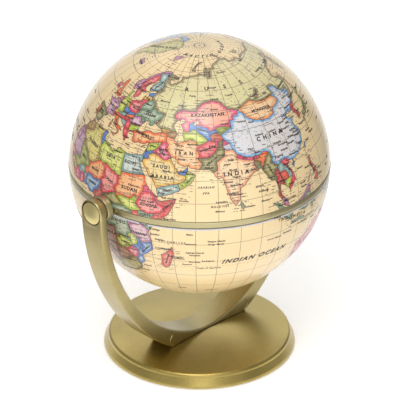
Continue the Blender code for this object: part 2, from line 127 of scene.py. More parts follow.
# Arm and its caps
ARM_HALF_WIDTH = 5.75
ARM_OUTER = 60.9
ARM_INNER = 57.4
ARM_OUTER_DEPTH = 82.0
ARM_INNER_DEPTH = 73.9
ARM_POWER = 1.865
ARM_EDGE = 0.75
ARM_ROWS = 220
EYE_STEPS = 40
FOOT_HALF = 20.9
FOOT_BOTTOM = 6.7
FOOT_GAP = 0.3                  # between the foot and the sides of its slot
BEAD_RADIUS = 0.2
BEAD_STEPS = 12
BEAD_PLACE = 20.6               # how far out a weld bead starts, bows and ends
BEAD_BOW = 1.6
BEAD_LEAN = 0.8
BEAD_BOTTOM = 8.9
BEAD_RISE = 5.3
PIVOT_BORE = 2.6
CAP_RECESS_RADIUS = 5.15
CAP_RECESS_FLOOR = 58.6
CAP_RADIUS = 4.7
CAP_SHIFT = Vector((0, 0.28, -0.32))    # the caps sit off the middle of their recesses
CAP_BACK = 60.0
CAP_FACE = 61.1
CAP_CROWN = 0.3                 # how far the dome's middle stands past the face
CAP_RISE = 0.9
CAP_DOME_SHARE = 0.95           # of the cap's radius
CAP_EDGE = 0.25

# Ring
RING_RADIUS = 53.2
RING_INNER = 49.8
RING_HALF_HEIGHT = 1.2
RING_CROWN = 0.14
RING_SOFT = 0.12
BOSS_RADIUS = 5.2
BOSS_BORE = 1.8
BOSS_BACK = 53.6
BOSS_FACE = 56.3
BOSS_EDGE = 0.3
BOSS_WEB = (52.4, 54.0)         # the web that joins a boss to the band, and its half sizes
BOSS_WEB_WIDTH = 4
BOSS_WEB_HEIGHT = 1.1
LUG_SPAN = (44.0, 50.3)
LUG_WIDTH = 5                   # half of it
LUG_SCREW_PLACE = 46.8
LUG_BORE = 1.5
BLOCK_EDGE = 0.2
PAST = 2.0                      # how far cutting shapes reach past what they cut

# Print and metal colours
PAPER_PALE = (255, 240, 206)
PAPER_AGED = (236, 200, 150)
PAPER_GRAIN = (255, 246, 225)
PAPER_SPECK = (236, 150, 110)
RIVER_INK = (84, 96, 120)
TOWN_INK = (60, 36, 34)
GRID_INK = (96, 76, 58)
FINE_INK = (44, 32, 32)
BORDER_INK = (70, 50, 42)
PAINTED_RIM_HIGHLIGHT = (206, 206, 222)     # painted highlight on the southern shell's rim, just below the band
POLE_PAPER = ((244, 220, 172), (250, 230, 188))
POLE_INK = (104, 92, 80)
NAME_INK = ((26, 20, 20), (58, 46, 42))
GOLD_FLAKE = (228, 216, 168)
GOLD_WORN = (236, 226, 186)
GOLD_ROUGHNESS = 0.27

# Print layout, in mm from a coast or border where nothing else is said
BAND_FADE = (0.70, 1.20)
BAND_STRENGTH = (0.30, 0.95)    # on sea and on land
PAINTED_RIM_HIGHLIGHT_SPAN = (0.50, 0.44)   # mm below the southern rim
PRINT_PITCH = 1.15              # mm between rows of fine print
PRINT_REACH = 2.6
PRINT_WORDS = (0.26, 3.7, 0.50, 0.52)      # noise along a row and from row to row; where ink starts
PRINT_LETTERS = (2.3, 9.1, 0.44, 0.50)
TROPIC = 23.44
POLAR_CIRCLE = 66.56
DEGREE = 180 / math.pi
MM_PER_DEGREE = BALL_RADIUS / DEGREE

# Camera in mm and degrees; lights, floor and cards in metres and degrees
CAMERA_AZIMUTH = -45.0
CAMERA_ELEVATION = 28.0
CAMERA_DISTANCE = 1600.0
CAMERA_LENS = 355.0
AIM_BELOW_CENTRE = 15.2
AIM_RIGHT = 0.2
WORLD_GLOW = 0.62
FLOOR_REACH = 6.0
FLOOR_GLOW = 0.42
LIGHTS = (                      # name, azimuth, elevation, distance, size, power
    ("key", -53, 62, 0.75, (0.50, 0.42), 1.1),
    ("glint", -53, 62, 0.70, (0.28, 0.20), 0.8),
    ("front", -42, 13, 1.1, (0.5, 0.3), 1.0),
    ("back", 135, 36, 1.3, (1.3, 0.8), 1.7),
)
CARDS = (("left", -1, 0.30), ("right", 1, 0.20))     # name, side and glow
CARD_DISTANCE = 0.14
CARD_SPAN = (-0.16, 0.12)       # from front to back
CARD_HEIGHTS = (0.002, 0.26)

COASTS = {
    "Africa, Europe and Asia": """
        -5.9 35.8, -2.9 35.3, -1 35.7, 2.5 36.7, 5.5 36.8, 9.9 37.3, 11 37, 10.5 35.8, 10.1 34.3,
        11.1 33.3, 13.2 32.9, 15.2 32.3, 15.7 31.4, 18 30.4, 20 31, 20.1 32.2, 21.8 32.9, 23.2 32.3,
        25 31.6, 28 31, 29.5 30.9, 31 31.5, 32.3 31.2, 34.2 31.3, 34.9 32.6, 35.8 34.5, 36.1 36.7,
        34.7 36.7, 33.7 36.1, 32.5 36.1, 30.6 36.8, 29.3 36.3, 27.3 37, 26.3 38.3, 26.8 39.2,
        26.2 40.1, 26 40.7, 24 40.9, 22.8 40.4, 23.2 39.2, 24 38.2, 23 37.8, 22.9 36.5, 21.7 36.9,
        21.2 38.2, 20 39.6, 19.4 40.9, 19.4 41.9, 17.8 43, 15.2 44.3, 14.5 45.3, 13.6 45.1,
        13.6 45.8, 12.3 45.3, 12.5 44.3, 13.6 43.5, 14.3 42.4, 16.1 41.8, 18.4 40.2, 17 40.5,
        16.6 39.7, 17.1 39, 16 37.9, 15.8 39.9, 14.4 40.7, 12.3 41.7, 10.5 42.9, 10.1 44, 8.8 44.4,
        7.4 43.7, 5 43.3, 3.1 43.1, 3.2 41.9, 0.8 40.9, -0.3 39.4, 0.1 38.7, -0.8 37.6, -2.1 36.7,
        -4.4 36.7, -5.6 36, -6.3 36.7, -7.4 37.2, -9 37, -9.4 38.7, -8.8 41.2, -9.2 43.1, -8 43.7,
        -4 43.4, -1.6 43.4, -1.2 44.6, -1.1 46, -2.1 47.1, -4.7 48, -4.7 48.5, -2.5 48.6, -1.6 48.6,
        -1.8 49.7, 0.1 49.5, 1.6 50.7, 3.5 51.4, 4.6 52.9, 6.9 53.5, 8.6 53.9, 8.2 55.5, 8.6 57.1,
        10.6 57.7, 10.3 56.5, 9.8 55, 11 54, 14.2 53.9, 18.5 54.7, 19.8 54.4, 21.1 55.7, 21 56.8,
        21.7 57.6, 24 57, 24.3 58.3, 23.5 59.2, 28 59.5, 30 59.9, 28.5 60.5, 25 60.2, 22.9 59.9,
        21.4 61, 21.3 62.9, 24 64.6, 25.3 65, 24 65.8, 22.2 65.6, 21.2 64.4, 18 62.5, 17.2 61,
        18.9 59.8, 17 58.7, 16.5 57, 15.9 56.1, 14.3 55.5, 12.8 55.6, 12.8 56.5, 11.3 58.5,
        10.7 59.5, 9.5 58.8, 8 58.1, 6 58.3, 5.3 59.5, 5 61.5, 7 63, 10 64.2, 12.5 66, 14.5 67.8,
        17 69, 20 70, 24 71, 28 71, 31 70.3, 31 69.7, 33 69.4, 37 68.7, 41 67.2, 40.5 66.4, 36 66.3,
        33 66.7, 34.8 64.5, 37.5 63.9, 38 64.7, 40 64.6, 43.8 66.1, 44 68.4, 46 68, 48 67.6,
        53 68.7, 58 68.9, 60.6 69.8, 64.5 69.3, 68.5 68.3, 67 69.5, 67 71, 69 72.9, 72.8 72.7,
        72.5 71.2, 73 69, 72 67, 74 68, 75 72.5, 80.5 72.3, 81 73.6, 87 75, 94 76, 104.3 77.7,
        107 76.5, 113.5 75.8, 113 73.9, 118.5 73.1, 123 73, 127 73.5, 130 71.5, 134 71.6, 140 72.5,
        150 71.5, 160 69.7, 170 69.8, 180 69, 185 67.3, 190 66.1, 187.5 64.5, 182 64.5, 178 62.5,
        171 60.2, 165 60, 163.2 58, 163 56, 160 53.2, 156.8 51, 155.7 54, 156.5 57.3, 163 61.5,
        164.5 62.5, 160 61.8, 155 59.4, 149 59.5, 142.5 59.3, 136 55.5, 137.5 54, 141 53,
        140.3 49.5, 138 46.5, 135.5 44.3, 133 42.8, 130.7 42.3, 129.5 40.8, 127.5 39.5, 129.2 37,
        129.2 35.3, 126.5 34.5, 126.5 37, 125 38, 125 39.6, 121.5 39, 122 40.6, 120 40, 117.8 39,
        119 37.3, 122.5 37, 119.3 35, 121 32.5, 121.9 31, 121.8 29, 119.5 25.7, 117 23.6,
        114.3 22.3, 110.5 21.2, 110 20.4, 109.6 21.5, 108 21.6, 106 20, 105.8 18.8, 108.8 15.4,
        109.3 12.5, 106.9 10.4, 105 8.6, 104.8 10.2, 102.8 11.8, 101 12.7, 100.2 13.4, 99.3 10.5,
        100.5 7.2, 103.3 4.5, 104.2 1.4, 101.5 2.7, 100.3 5.6, 98.4 8, 98.6 11, 97.7 15.5,
        95.3 15.8, 94.3 17.5, 92.3 20.8, 91.7 22.4, 89 21.7, 87 21.3, 85.2 19.6, 82.3 16.7,
        80.2 15.5, 80.2 13, 79.8 10.4, 78.2 8.9, 77.5 8.1, 76.3 9.9, 74.8 13, 73.3 17, 72.8 20,
        72.5 21.5, 70.8 20.8, 69.1 22.3, 68.3 23.6, 66.7 25, 61.6 25.2, 57.3 25.8, 56.8 27.1,
        54.7 26.6, 51.5 27.9, 50.1 30.2, 48 30.2, 48 29.5, 50 26.6, 50.8 25.6, 51.5 25.9, 51.6 24.3,
        54 24.2, 56.3 26.2, 56.5 24.4, 58.7 23.5, 59.8 22.4, 57.8 19, 55.2 17.5, 52.2 15.6, 48.5 14,
        45 12.8, 43.4 12.7, 42.7 16, 40.8 19.5, 39.1 21.5, 37.2 24.7, 35 28, 34.9 29.5, 34.3 27.8,
        32.6 29.9, 33.6 27.9, 35.5 24, 37.2 21, 37.4 18.8, 39.5 15.5, 43.2 12.4, 43.2 11.5,
        44.3 10.5, 47.5 11.1, 51.2 11.9, 51 10.4, 48 4.5, 44 1, 41.6 -1.7, 39.3 -4.6, 38.8 -6.3,
        39.4 -8, 40.5 -10.5, 40.7 -15, 36.9 -18, 34.8 -20, 35.5 -23.8, 32.8 -25.6, 32.5 -28.3,
        30.5 -31, 27.5 -33.2, 25.6 -34, 20 -34.8, 18.4 -34.2, 18.2 -32, 16.5 -28.6, 14.5 -22.5,
        11.8 -17.5, 13.8 -11.5, 12.3 -6, 9 -1, 9.8 3.5, 8.5 4.6, 6 4.3, 4.4 6.4, 1.2 6.1, -2 4.8,
        -7.6 4.4, -11.4 6.8, -13.3 9, -16.7 12.4, -17.5 14.7, -16.2 18, -17 21, -14.9 25, -13 27.8,
        -9.8 30, -9.3 32.3, -6.8 34.1""",
    "America": """
        -168 65.6, -164 66.4, -163 68, -166 68.5, -163 69.5, -156.7 71.3, -150 70.5, -141 69.7,
        -136 69, -130 70.1, -125 70, -120 69.5, -115 68.2, -108 68, -101 67.9, -96 68.3, -95.5 71.9,
        -92 71, -91.5 69.5, -88 68.7, -85 69.8, -81.5 69, -82 67, -86.5 66.4, -88 64.3, -94 62.5,
        -94.7 60, -92.5 57, -87.5 56, -82.3 55.2, -82 53, -79.5 51.3, -78.8 53, -79 55, -76.7 57.3,
        -78.2 59, -77.5 62.4, -73.5 62.2, -70 61, -69.5 59, -66 58.6, -64.5 60.3, -61.5 57,
        -57.5 54.5, -55.8 52.5, -59 50.8, -66 50.2, -71 47, -64.8 49, -64.8 46.8, -61 45.5,
        -65.5 43.5, -66.5 45, -70 43.7, -70.8 42, -70 41.6, -74 40.6, -75.5 38, -76.2 36.5,
        -75.6 35.2, -78.5 33.8, -81.3 31.5, -80 26.8, -80.7 25.2, -82.7 28, -84.2 30, -89.5 30.2,
        -89.4 29.1, -94 29.6, -97.4 27.3, -97.7 22.5, -96 19.2, -94.5 18.2, -91 18.7, -90.3 21,
        -87 21.5, -88 18, -88.7 15.8, -83.3 15, -83.7 11, -81.5 9, -79.6 9.5, -77.4 8.5, -75.6 10.6,
        -74.2 11.2, -71.7 12.3, -71.5 10.8, -68 11, -62 10.7, -60 8.4, -57.3 6, -51.5 4, -50 1,
        -50 -0.5, -47.5 -0.7, -44.3 -2.5, -40 -3, -35.3 -5.2, -34.9 -8, -37.5 -11.5, -39 -14,
        -39 -17.8, -41 -22, -44.5 -23.1, -48.5 -26, -48.7 -28.5, -53.5 -33.8, -56 -34.9,
        -58.4 -34.2, -56.8 -36.5, -58 -38.2, -62.2 -39, -65 -41, -65 -45, -67.5 -46.3, -66 -48,
        -69 -50.8, -68.3 -52.3, -71 -53.8, -74.5 -51, -75.3 -47, -73 -42, -73.5 -37.5, -71.5 -33,
        -71.4 -30, -70.3 -24, -70.3 -18.4, -76 -14, -79.5 -8, -81.2 -5.5, -80 -3, -80.9 -2.2,
        -80 0.5, -77.5 4, -78.3 8, -80 7.4, -83 8.3, -85.7 10, -87.6 12.9, -91.5 14, -94.5 16.2,
        -98 16.2, -101.5 17.7, -105.6 20.3, -106 23, -109.4 26, -112.2 29, -114.7 31.6, -112.8 28,
        -110.5 24.2, -109.6 23, -112 25, -115 28, -117.2 32.6, -120.6 34.6, -122.5 37.5,
        -124.3 40.3, -124 46, -124.6 48.4, -122.7 48.9, -127.8 51.5, -130.5 54.5, -135.5 58.3,
        -140 59.7, -146 60.8, -151.5 59.4, -154 58.6, -160 56, -165 54.5, -158 58.5, -162 59,
        -165.5 61.5, -164.5 63.2, -161 64.5, -166 64.5""",
    "Australia": """
        113.7 -22.5, 114 -26, 115 -30, 115.5 -34, 118 -35, 123.5 -34, 129 -31.7, 134 -32.7,
        136 -34.8, 138 -33, 138.5 -35.6, 140.5 -38, 144.5 -38.3, 147 -38.8, 150 -37.3, 151.2 -33.8,
        153.2 -30, 153.2 -26, 149.5 -22, 146 -19, 145.3 -15, 142.5 -10.8, 141.6 -14, 140.8 -17.5,
        136 -15.5, 135.5 -12.2, 131 -12, 129.5 -15, 126 -14, 122.3 -17.5, 119 -20""",
    "Greenland": """
        -44 60, -50 61.5, -53.5 67, -54.5 70.5, -60 75.5, -71 77, -67 79, -60 82, -40 83.3, -25 83,
        -15 81.5, -20 78, -20 74.5, -23 72, -25 70, -33 68, -40 65, -42.5 61""",
    "Antarctica": """
        300 -63.5, 295 -68, 298 -74, 315 -78, 330 -76.5, 345 -72.5, 360 -69.5, 380 -69.8, 400 -69,
        410 -67, 430 -68.5, 435 -69.5, 442 -66.5, 460 -65.5, 480 -66.7, 500 -66.5, 515 -69,
        530 -71.5, 524 -77.5, 540 -78.3, 560 -78, 580 -75, 610 -74.5, 645 -73, 652 -68, 658 -64""",
}

LAKES = {
    "Black Sea": """
        29.1 41.3, 31.4 41.4, 33.3 42, 35.1 42.1, 36.5 41.3, 38.4 41, 41.5 41.6, 41.5 42.5,
        39.8 43.4, 38 44.4, 36.8 45.3, 35.4 45, 34 44.4, 33.4 45.1, 32.6 45.5, 33.6 46.1, 31.6 46.6,
        30.7 46.5, 29.7 45.2, 28.7 44.2, 28 43.4, 27.7 42.5, 28.2 41.7""",
    "Azov": """
        35.2 46.1, 37 46.7, 39 47.1, 38.2 46, 36.8 45.6""",
    "Caspian": """
        47.5 45.5, 49 46.5, 51.5 46.9, 53 46.5, 53 45.3, 51 44.5, 52.6 42.6, 53 40, 53.9 38.9,
        53.9 37, 51 36.7, 49 37.6, 49 39.3, 50.3 40.3, 49 41.5, 47.6 43, 47 44.3""",
    "Aral": """
        58.3 45.6, 60.5 46.5, 61.5 45, 59.5 43.8, 58.3 44.3""",
    "Baikal": """
        103.9 51.6, 106.5 52.6, 109.5 55.3, 109 55.6, 106 53.3, 104 51.9""",
    "Victoria": """
        31.8 -1, 33 0.3, 34.1 -0.3, 33.6 -2.3, 32 -2.4""",
}

BORDERS = """
    -2 35.5, -1.3 32.4, -3.5 30.9, -8.7 28.7, -8.7 27.4; -8.7 27.6, -14 27.6; -8.7 27.4, -8.7 26,
    -12 26, -12 23.5, -13 21.3, -17.3 21.2; -8.7 27.4, -4.8 25, 1.2 21.1, 3.3 19, 4.2 19.2, 6 19.5,
    12 23.5; -4.8 25, -6.5 25, -5.5 15.5, -9.4 15.5, -12.2 14.8; 12 23.5, 10 24.5, 9.5 26.4,
    9.5 30.2, 7.6 33.5, 8.4 37.3; 9.5 30.2, 10.3 31.7, 11.6 33.5; 12 23.5, 14.2 22.6, 15 23,
    16 23.5, 24 19.5; 25 31.9, 25 22, 25 20, 24 20, 24 19.5; 25 22, 37.3 22; 15 23, 15.5 21,
    15.6 16.5, 13.5 14.2, 13.6 13.7; 4.2 19.2, 4.2 16.8, 3.5 15.4, 0.2 15; 3.6 11.8, 4 13.4, 6 13.6,
    9 12.8, 13.6 13.7, 14.1 13; 0.2 15, 2.2 12.4, 3.6 11.8; 0.2 15, -3 13.6, -5.5 10.4; -5.5 10.4,
    -2.8 9.8, 0 11, 1 11, 2.2 12.4; 3.6 11.8, 2.7 8.5, 2.7 6; 0.9 11, 1.6 9, 1.7 6; 0 11, 0.6 8,
    1.2 5.8; -2.8 9.8, -2.7 7.5, -3 4.8; -5.5 10.4, -8 10.3, -9 12.4, -11.4 12.2, -12.2 14.8;
    -8 10.3, -8.3 7.6, -9.5 8.4, -10.4 8.4, -11.4 6.8; -8.3 7.6, -7.5 4.2; -10.4 8.4, -11 10,
    -13.3 9; -11.4 12.2, -13.7 12.6, -16.8 12.3; -13.7 12.6, -13.8 11.7, -15 10.9; -12.2 14.8,
    -14.5 16.6, -16.6 16.1; 14.1 13, 13.2 10, 11.5 7, 9.5 6.4, 8.6 4.5; 14.1 13, 15.1 11, 14 10,
    15.5 7.5; 24 19.5, 24 15.7, 22.2 13.5, 22.9 11, 19 9, 15.5 7.5, 14.5 5, 16.1 2.2; 16.1 2.2,
    18.6 3.5, 18.5 4.3, 22.4 4.1, 27.4 5; 22.9 11, 24 8.7, 27.4 5; 24 8.7, 25.5 10.2, 29 9.6,
    31 9.8, 33 12, 34 9.5; 34 9.5, 35 11.5, 36.5 14.3, 37 17, 38.7 18; 36.5 14.3, 40 14.4,
    42.4 12.4, 43.3 12.6; 42.4 12.4, 41.8 11, 43.3 11.4; 41.8 11, 42.8 10.5, 44 9, 48 8, 45 5,
    42 4.2; 42 4.2, 39 3.6, 36 4.5, 33 7.8, 34 9.5; 42 4.2, 41 2.8, 41 -0.9, 41.6 -1.8; 36 4.5,
    34 4.2, 35 1.8, 33.9 0.2, 33.9 -1, 37.7 -3.3, 39.3 -4.8; 34 4.2, 30.9 3.6, 31.3 2.2, 29.6 0.5,
    29.6 -1.4, 30.5 -1.1, 33.9 -1; 27.4 5, 30.9 3.6; 29.6 -1.4, 29.1 -2.6, 29.4 -4.4, 30.8 -3.3,
    30.5 -1.1; 29.4 -4.4, 29.5 -6, 30.7 -8.3, 33 -9.5, 34.5 -9.7, 34.6 -11.5, 37.5 -11.6,
    40.8 -10.5; 33 -9.5, 33.3 -12, 32.8 -14, 34.5 -14.5, 34.3 -15.8, 35.3 -17.1, 35.8 -14.8,
    34.6 -11.5; 30.7 -8.3, 28.6 -9, 28.7 -11, 29.8 -12.2, 29.7 -13.3, 28 -12.3, 25 -11.3, 24 -11,
    22 -11.1; 24 -11, 24 -13, 22 -13, 22 -16.2, 23.3 -17.6; 25.2 -17.8, 27.5 -17.8, 29 -15.8,
    30.4 -15.7, 30.3 -14.9, 32.8 -14; 30.4 -15.7, 32.9 -16.8, 32.8 -20, 31.3 -22.4, 29.4 -22.2,
    27.7 -20.5, 25.2 -17.8; 25.2 -17.8, 21 -18.2, 21 -22, 20 -22, 20 -24.8, 20.8 -26.8, 23 -25.3,
    25.6 -25.6, 27 -23.6, 29.4 -22.2; 20 -24.8, 20 -28.3, 16.4 -28.6; 11.6 -17.2, 14 -17.4,
    18.4 -17.4, 23.3 -17.6, 25.2 -17.8; 31.3 -22.4, 32 -25.8, 32.9 -26.9; 32 -25.8, 31 -26,
    31 -27.3, 32.3 -26.5; 12.3 -5.9, 13.2 -5.9, 16.5 -5.9, 17.5 -8.1, 21.8 -7.3, 22 -11.1; 13 -5.9,
    13 -4.8, 15.5 -4.2, 16.2 -1.5, 17.8 0.5, 18.6 3.5; 11 -3.9, 14.3 -2, 13.2 -1, 14.2 1, 13.2 2.2;
    9.7 2.2, 13.2 2.2, 16.1 2.2; 9.6 1.1, 11.3 1.1, 11.3 2.2;
    34.2 31.4, 34.9 29.4, 35.5 31.5, 35.7 32.8, 35.7 33.3; 35 33.1, 35.7 33.3, 36.6 34.2, 35.9 34.7;
    34.9 29.4, 37.5 30, 37 31.5, 39.2 32.1; 35.7 32.8, 38.8 33.4, 39.2 32.1; 38.8 33.4, 41.2 34.5,
    42.4 37.1; 39.2 32.1, 42 31.1, 44.7 29.2, 46.5 29.1, 47.5 28.5, 48.6 28.5; 46.5 29.1, 47.7 30.1,
    48.2 30; 35.8 35.9, 36.7 36.7, 39 36.7, 42.4 37.1, 44.8 37.2, 46 35.8, 45.5 34, 47.7 31.4,
    48.3 29.9; 44.8 37.2, 44.5 39.8, 43.6 41.1, 41.5 41.5; 44.5 39.8, 46.5 38.9, 48.9 38.4;
    46.5 38.9, 45 41.2; 43.6 41.1, 45 41.2, 46.6 41.8; 39.9 43.4, 43 43, 46.6 41.8, 48.7 41.8;
    53.9 37.3, 57 38.2, 60 36.8, 61.2 35.6, 60.6 33.5, 61.8 31, 60.9 29.8, 63.2 27.2, 61.6 25;
    60.9 29.8, 66.3 29.9, 69.3 32, 71.5 34.3, 71.3 36.2, 74.5 37; 61.2 35.6, 64.5 36.3, 66.5 37.4,
    68 37, 70 37.8, 71.5 37.9, 74.5 37.2; 66.5 37.4, 62 40.5, 58.5 42.6, 56 41.3, 52.5 41.8;
    56 41.3, 56 45, 58.5 45.6, 61 44, 66 42.9, 68 41.1, 71 42.3, 73.5 43, 80.2 42.2; 68 37,
    67.8 39.5, 70.5 40.5, 73 40.6, 70.5 41.5, 71 42.3; 70.5 40.2, 73.7 39.4; 80.2 42.2, 76 40.4,
    73.7 39.4, 74.8 37.2, 77.8 35.5; 80.2 42.2, 80.2 45, 82.5 45.3, 83 47.2, 85.6 47, 87.3 49.1;
    49 46.4, 47 48, 46.8 49.5, 50.8 51.6, 55 50.8, 59.5 50.6, 61.5 53, 65 54.3, 70.8 55.2, 76.5 54,
    80 50.8, 87.3 49.1; 87.3 49.1, 92 50.7, 98.3 52, 102.3 50.6, 107 49.7, 113 49.7, 116.6 49.8,
    119.8 50.2, 120.5 53.3, 125.5 53, 127.5 50, 131 47.7, 134.8 48.4, 133 45.2, 131 44.8,
    130.7 42.3; 87.3 49.1, 91 46.8, 91 45.2, 96.4 42.7, 105 41.6, 110 42.7, 112 45, 115.5 45.3,
    119.8 46.7, 117.8 49.5, 116.6 49.8; 130.7 42.4, 128 42, 126.5 41.4, 124.1 39.5; 126.2 37.8,
    128.6 38.6; 68.1 23.7, 70.5 24.5, 70 27.8, 73.9 30, 74.6 32.5, 74 34.5, 77.8 35.5; 77.8 35.5,
    78.7 32.5, 81 30.2, 84.5 28.7, 88.2 27.9, 90 28.2, 91.6 27.9, 95 29.2, 97.3 28.2; 81 30.2,
    80.1 28.8, 84 27.4, 88.1 26.5, 88.2 27.9; 88.9 28, 88.9 26.9, 92 26.9, 91.6 27.9; 88.9 21.5,
    88.9 23.5, 88.1 24.5, 88.6 26.3, 89.8 26, 92.3 25, 91.4 23.7, 92.3 23, 92.4 20.8; 92.4 21.5,
    93.3 24, 95.2 26.6, 97.3 28.2, 98.7 25.5, 97.6 24, 99.3 22.1, 101.2 21.6; 101.2 21.6,
    100.1 20.4, 97.7 18.3, 98.9 16.3, 98.2 15.1, 99.5 12, 98.6 10; 101.2 21.6, 102.1 22.4,
    104.9 19.8, 107.5 16, 107.5 14.5, 106 11.8, 104.5 10.4; 100.1 20.4, 101 18, 104 18.2,
    105.5 15.8, 105.2 14.3, 107.5 14.5; 105.2 14.3, 102.6 13.6, 102.9 11.6; 102.1 22.4, 105 23.2,
    108 21.5; 99.2 6.8, 102.4 6.1; 42.8 16.4, 45 17.3, 48 18.2, 52 19, 53.1 16.5; 52 19, 55 20,
    55.6 22, 55.1 22.7, 52.5 23, 51.6 24.3; 55.1 22.7, 56 24.2, 56.3 25.9; 50.8 24.7, 51.6 24.5;
    -1.8 43.4, 3.2 42.4; -8.8 41.9, -6.5 41.8, -7 39.7, -7.4 37.1; 7.5 43.7, 7 45.9, 6 46.3,
    7.6 47.6, 8.2 49, 6.4 49.5, 4 50, 2.5 51.1; 3.4 51.4, 6 51, 6 50.7, 7.1 53.4; 6 50.7, 6.4 49.5;
    7.6 47.6, 9.6 47.5, 10.4 46.7, 7 45.9; 9.6 47.5, 13 47.5, 13.8 48.7, 12.2 50.3, 14.8 50.9,
    14.3 54; 14.8 50.9, 18.8 49.5, 22.5 49.1; 13.8 48.7, 16.9 48.7, 18.8 49.5; 16.9 48.7, 17.1 48,
    22.1 48.4, 22.5 49.1; 10.4 46.7, 13.7 46.5, 16 46.7, 17.1 48; 13.7 46.5, 13.6 45.6; 13.6 45.5,
    16 46.6; 16 46.7, 18.8 45.9, 20.3 46.1, 22.9 48, 22.1 48.4; 16 45.2, 19 45, 19.3 43, 17.6 42.8;
    20.3 46.1, 22.6 44.3, 28.7 43.8; 22.6 44.2, 22.4 42.3, 23 41.4, 26.3 41.6, 28 42; 26.3 41.6,
    26 40.6; 19.3 41.9, 20.5 42, 20.6 41, 20 39.6; 20.6 41, 23 41.4; 20.5 42, 22.4 42.3; 22.9 48,
    26.6 48.3, 28.2 46, 29.7 45.2; 26.6 48.3, 29.5 47.5, 30 46.4, 28.3 45.6; 22.5 49.1, 24 50.7,
    23.6 51.6, 23.7 53.9, 22.8 54.4, 19.3 54.5; 23.6 51.6, 30.6 51.4, 31.8 52.1, 34 52, 35.5 50.4,
    40 49.6, 38.2 47; 31.8 52.1, 32.5 53.4, 31 55, 28.2 56.1, 27.4 57.5, 28.1 59.5; 23.7 53.9,
    26.6 55.7, 28.2 56.1; 21 56.1, 26.6 55.7; 24.2 57.9, 27.4 57.5; 28 60.6, 31.5 62.9, 29.5 64.5,
    29.5 67.8, 28.8 69, 30.8 69.9; 28.8 69, 28 70, 26 69.6, 20.6 69; 24.1 65.7, 20.6 69, 16 67,
    12.2 63.5, 12.2 61, 11.2 58.9; 8.4 54.9, 9.9 54.8;
    -123 49, -95 49, -89.5 48, -84.8 46.6, -82.5 43, -79 43, -75 45, -71.5 45, -69.2 47.4, -67.3 45;
    -141 70.4, -141 60.3, -135.5 59.6, -131 54.2; -117.2 32.5, -111 31.3, -106.5 31.7, -103 29,
    -99.5 27.5, -97.2 25.9; -92.3 14.4, -91.5 16.5, -91 17.8, -88.2 18.3; -88.3 15.8, -89.3 14.4,
    -87.8 13.2; -83.2 15, -87.4 12.9; -83.7 11, -85.8 11.1; -82.6 9.6, -82.9 8.1; -77.3 8.6,
    -77.9 7.3; -71.3 12, -72.5 9, -70 7, -67.5 6.2, -67 1.5, -64 1.5, -64.3 4, -60.7 5.2; -60 8.5,
    -60.7 5.2, -59.8 2, -56.5 1.9; -57.2 6, -58 4, -56.5 1.9, -54.5 2.3, -51.6 4.2; -54 5.8,
    -54.5 2.3; -78.8 1.4, -75.3 -0.2, -70 -4.2; -75.3 -0.2, -78.5 -4.8, -80.3 -3.4; -67 1.2,
    -69.5 1, -70 -4.2, -73.5 -7, -70.6 -11, -69.5 -11, -69 -15.5, -69.5 -17.5, -70.5 -18.4;
    -69.5 -17.5, -67.2 -22.8; -69.5 -11, -65.3 -10, -60 -13.7, -58 -17, -58 -20, -62.3 -20.6,
    -62.6 -22.2, -67.2 -22.8, -70 -31, -71.5 -38, -72 -46, -72 -50.5, -68.4 -52.3; -62.6 -22.2,
    -57.7 -25.3, -58.5 -27.3, -54.6 -25.6; -58 -20, -57.8 -22, -54.3 -24, -54.6 -25.6, -53.7 -27,
    -57.6 -30.2, -58.4 -34; -57.6 -30.2, -53.4 -33.8;
"""

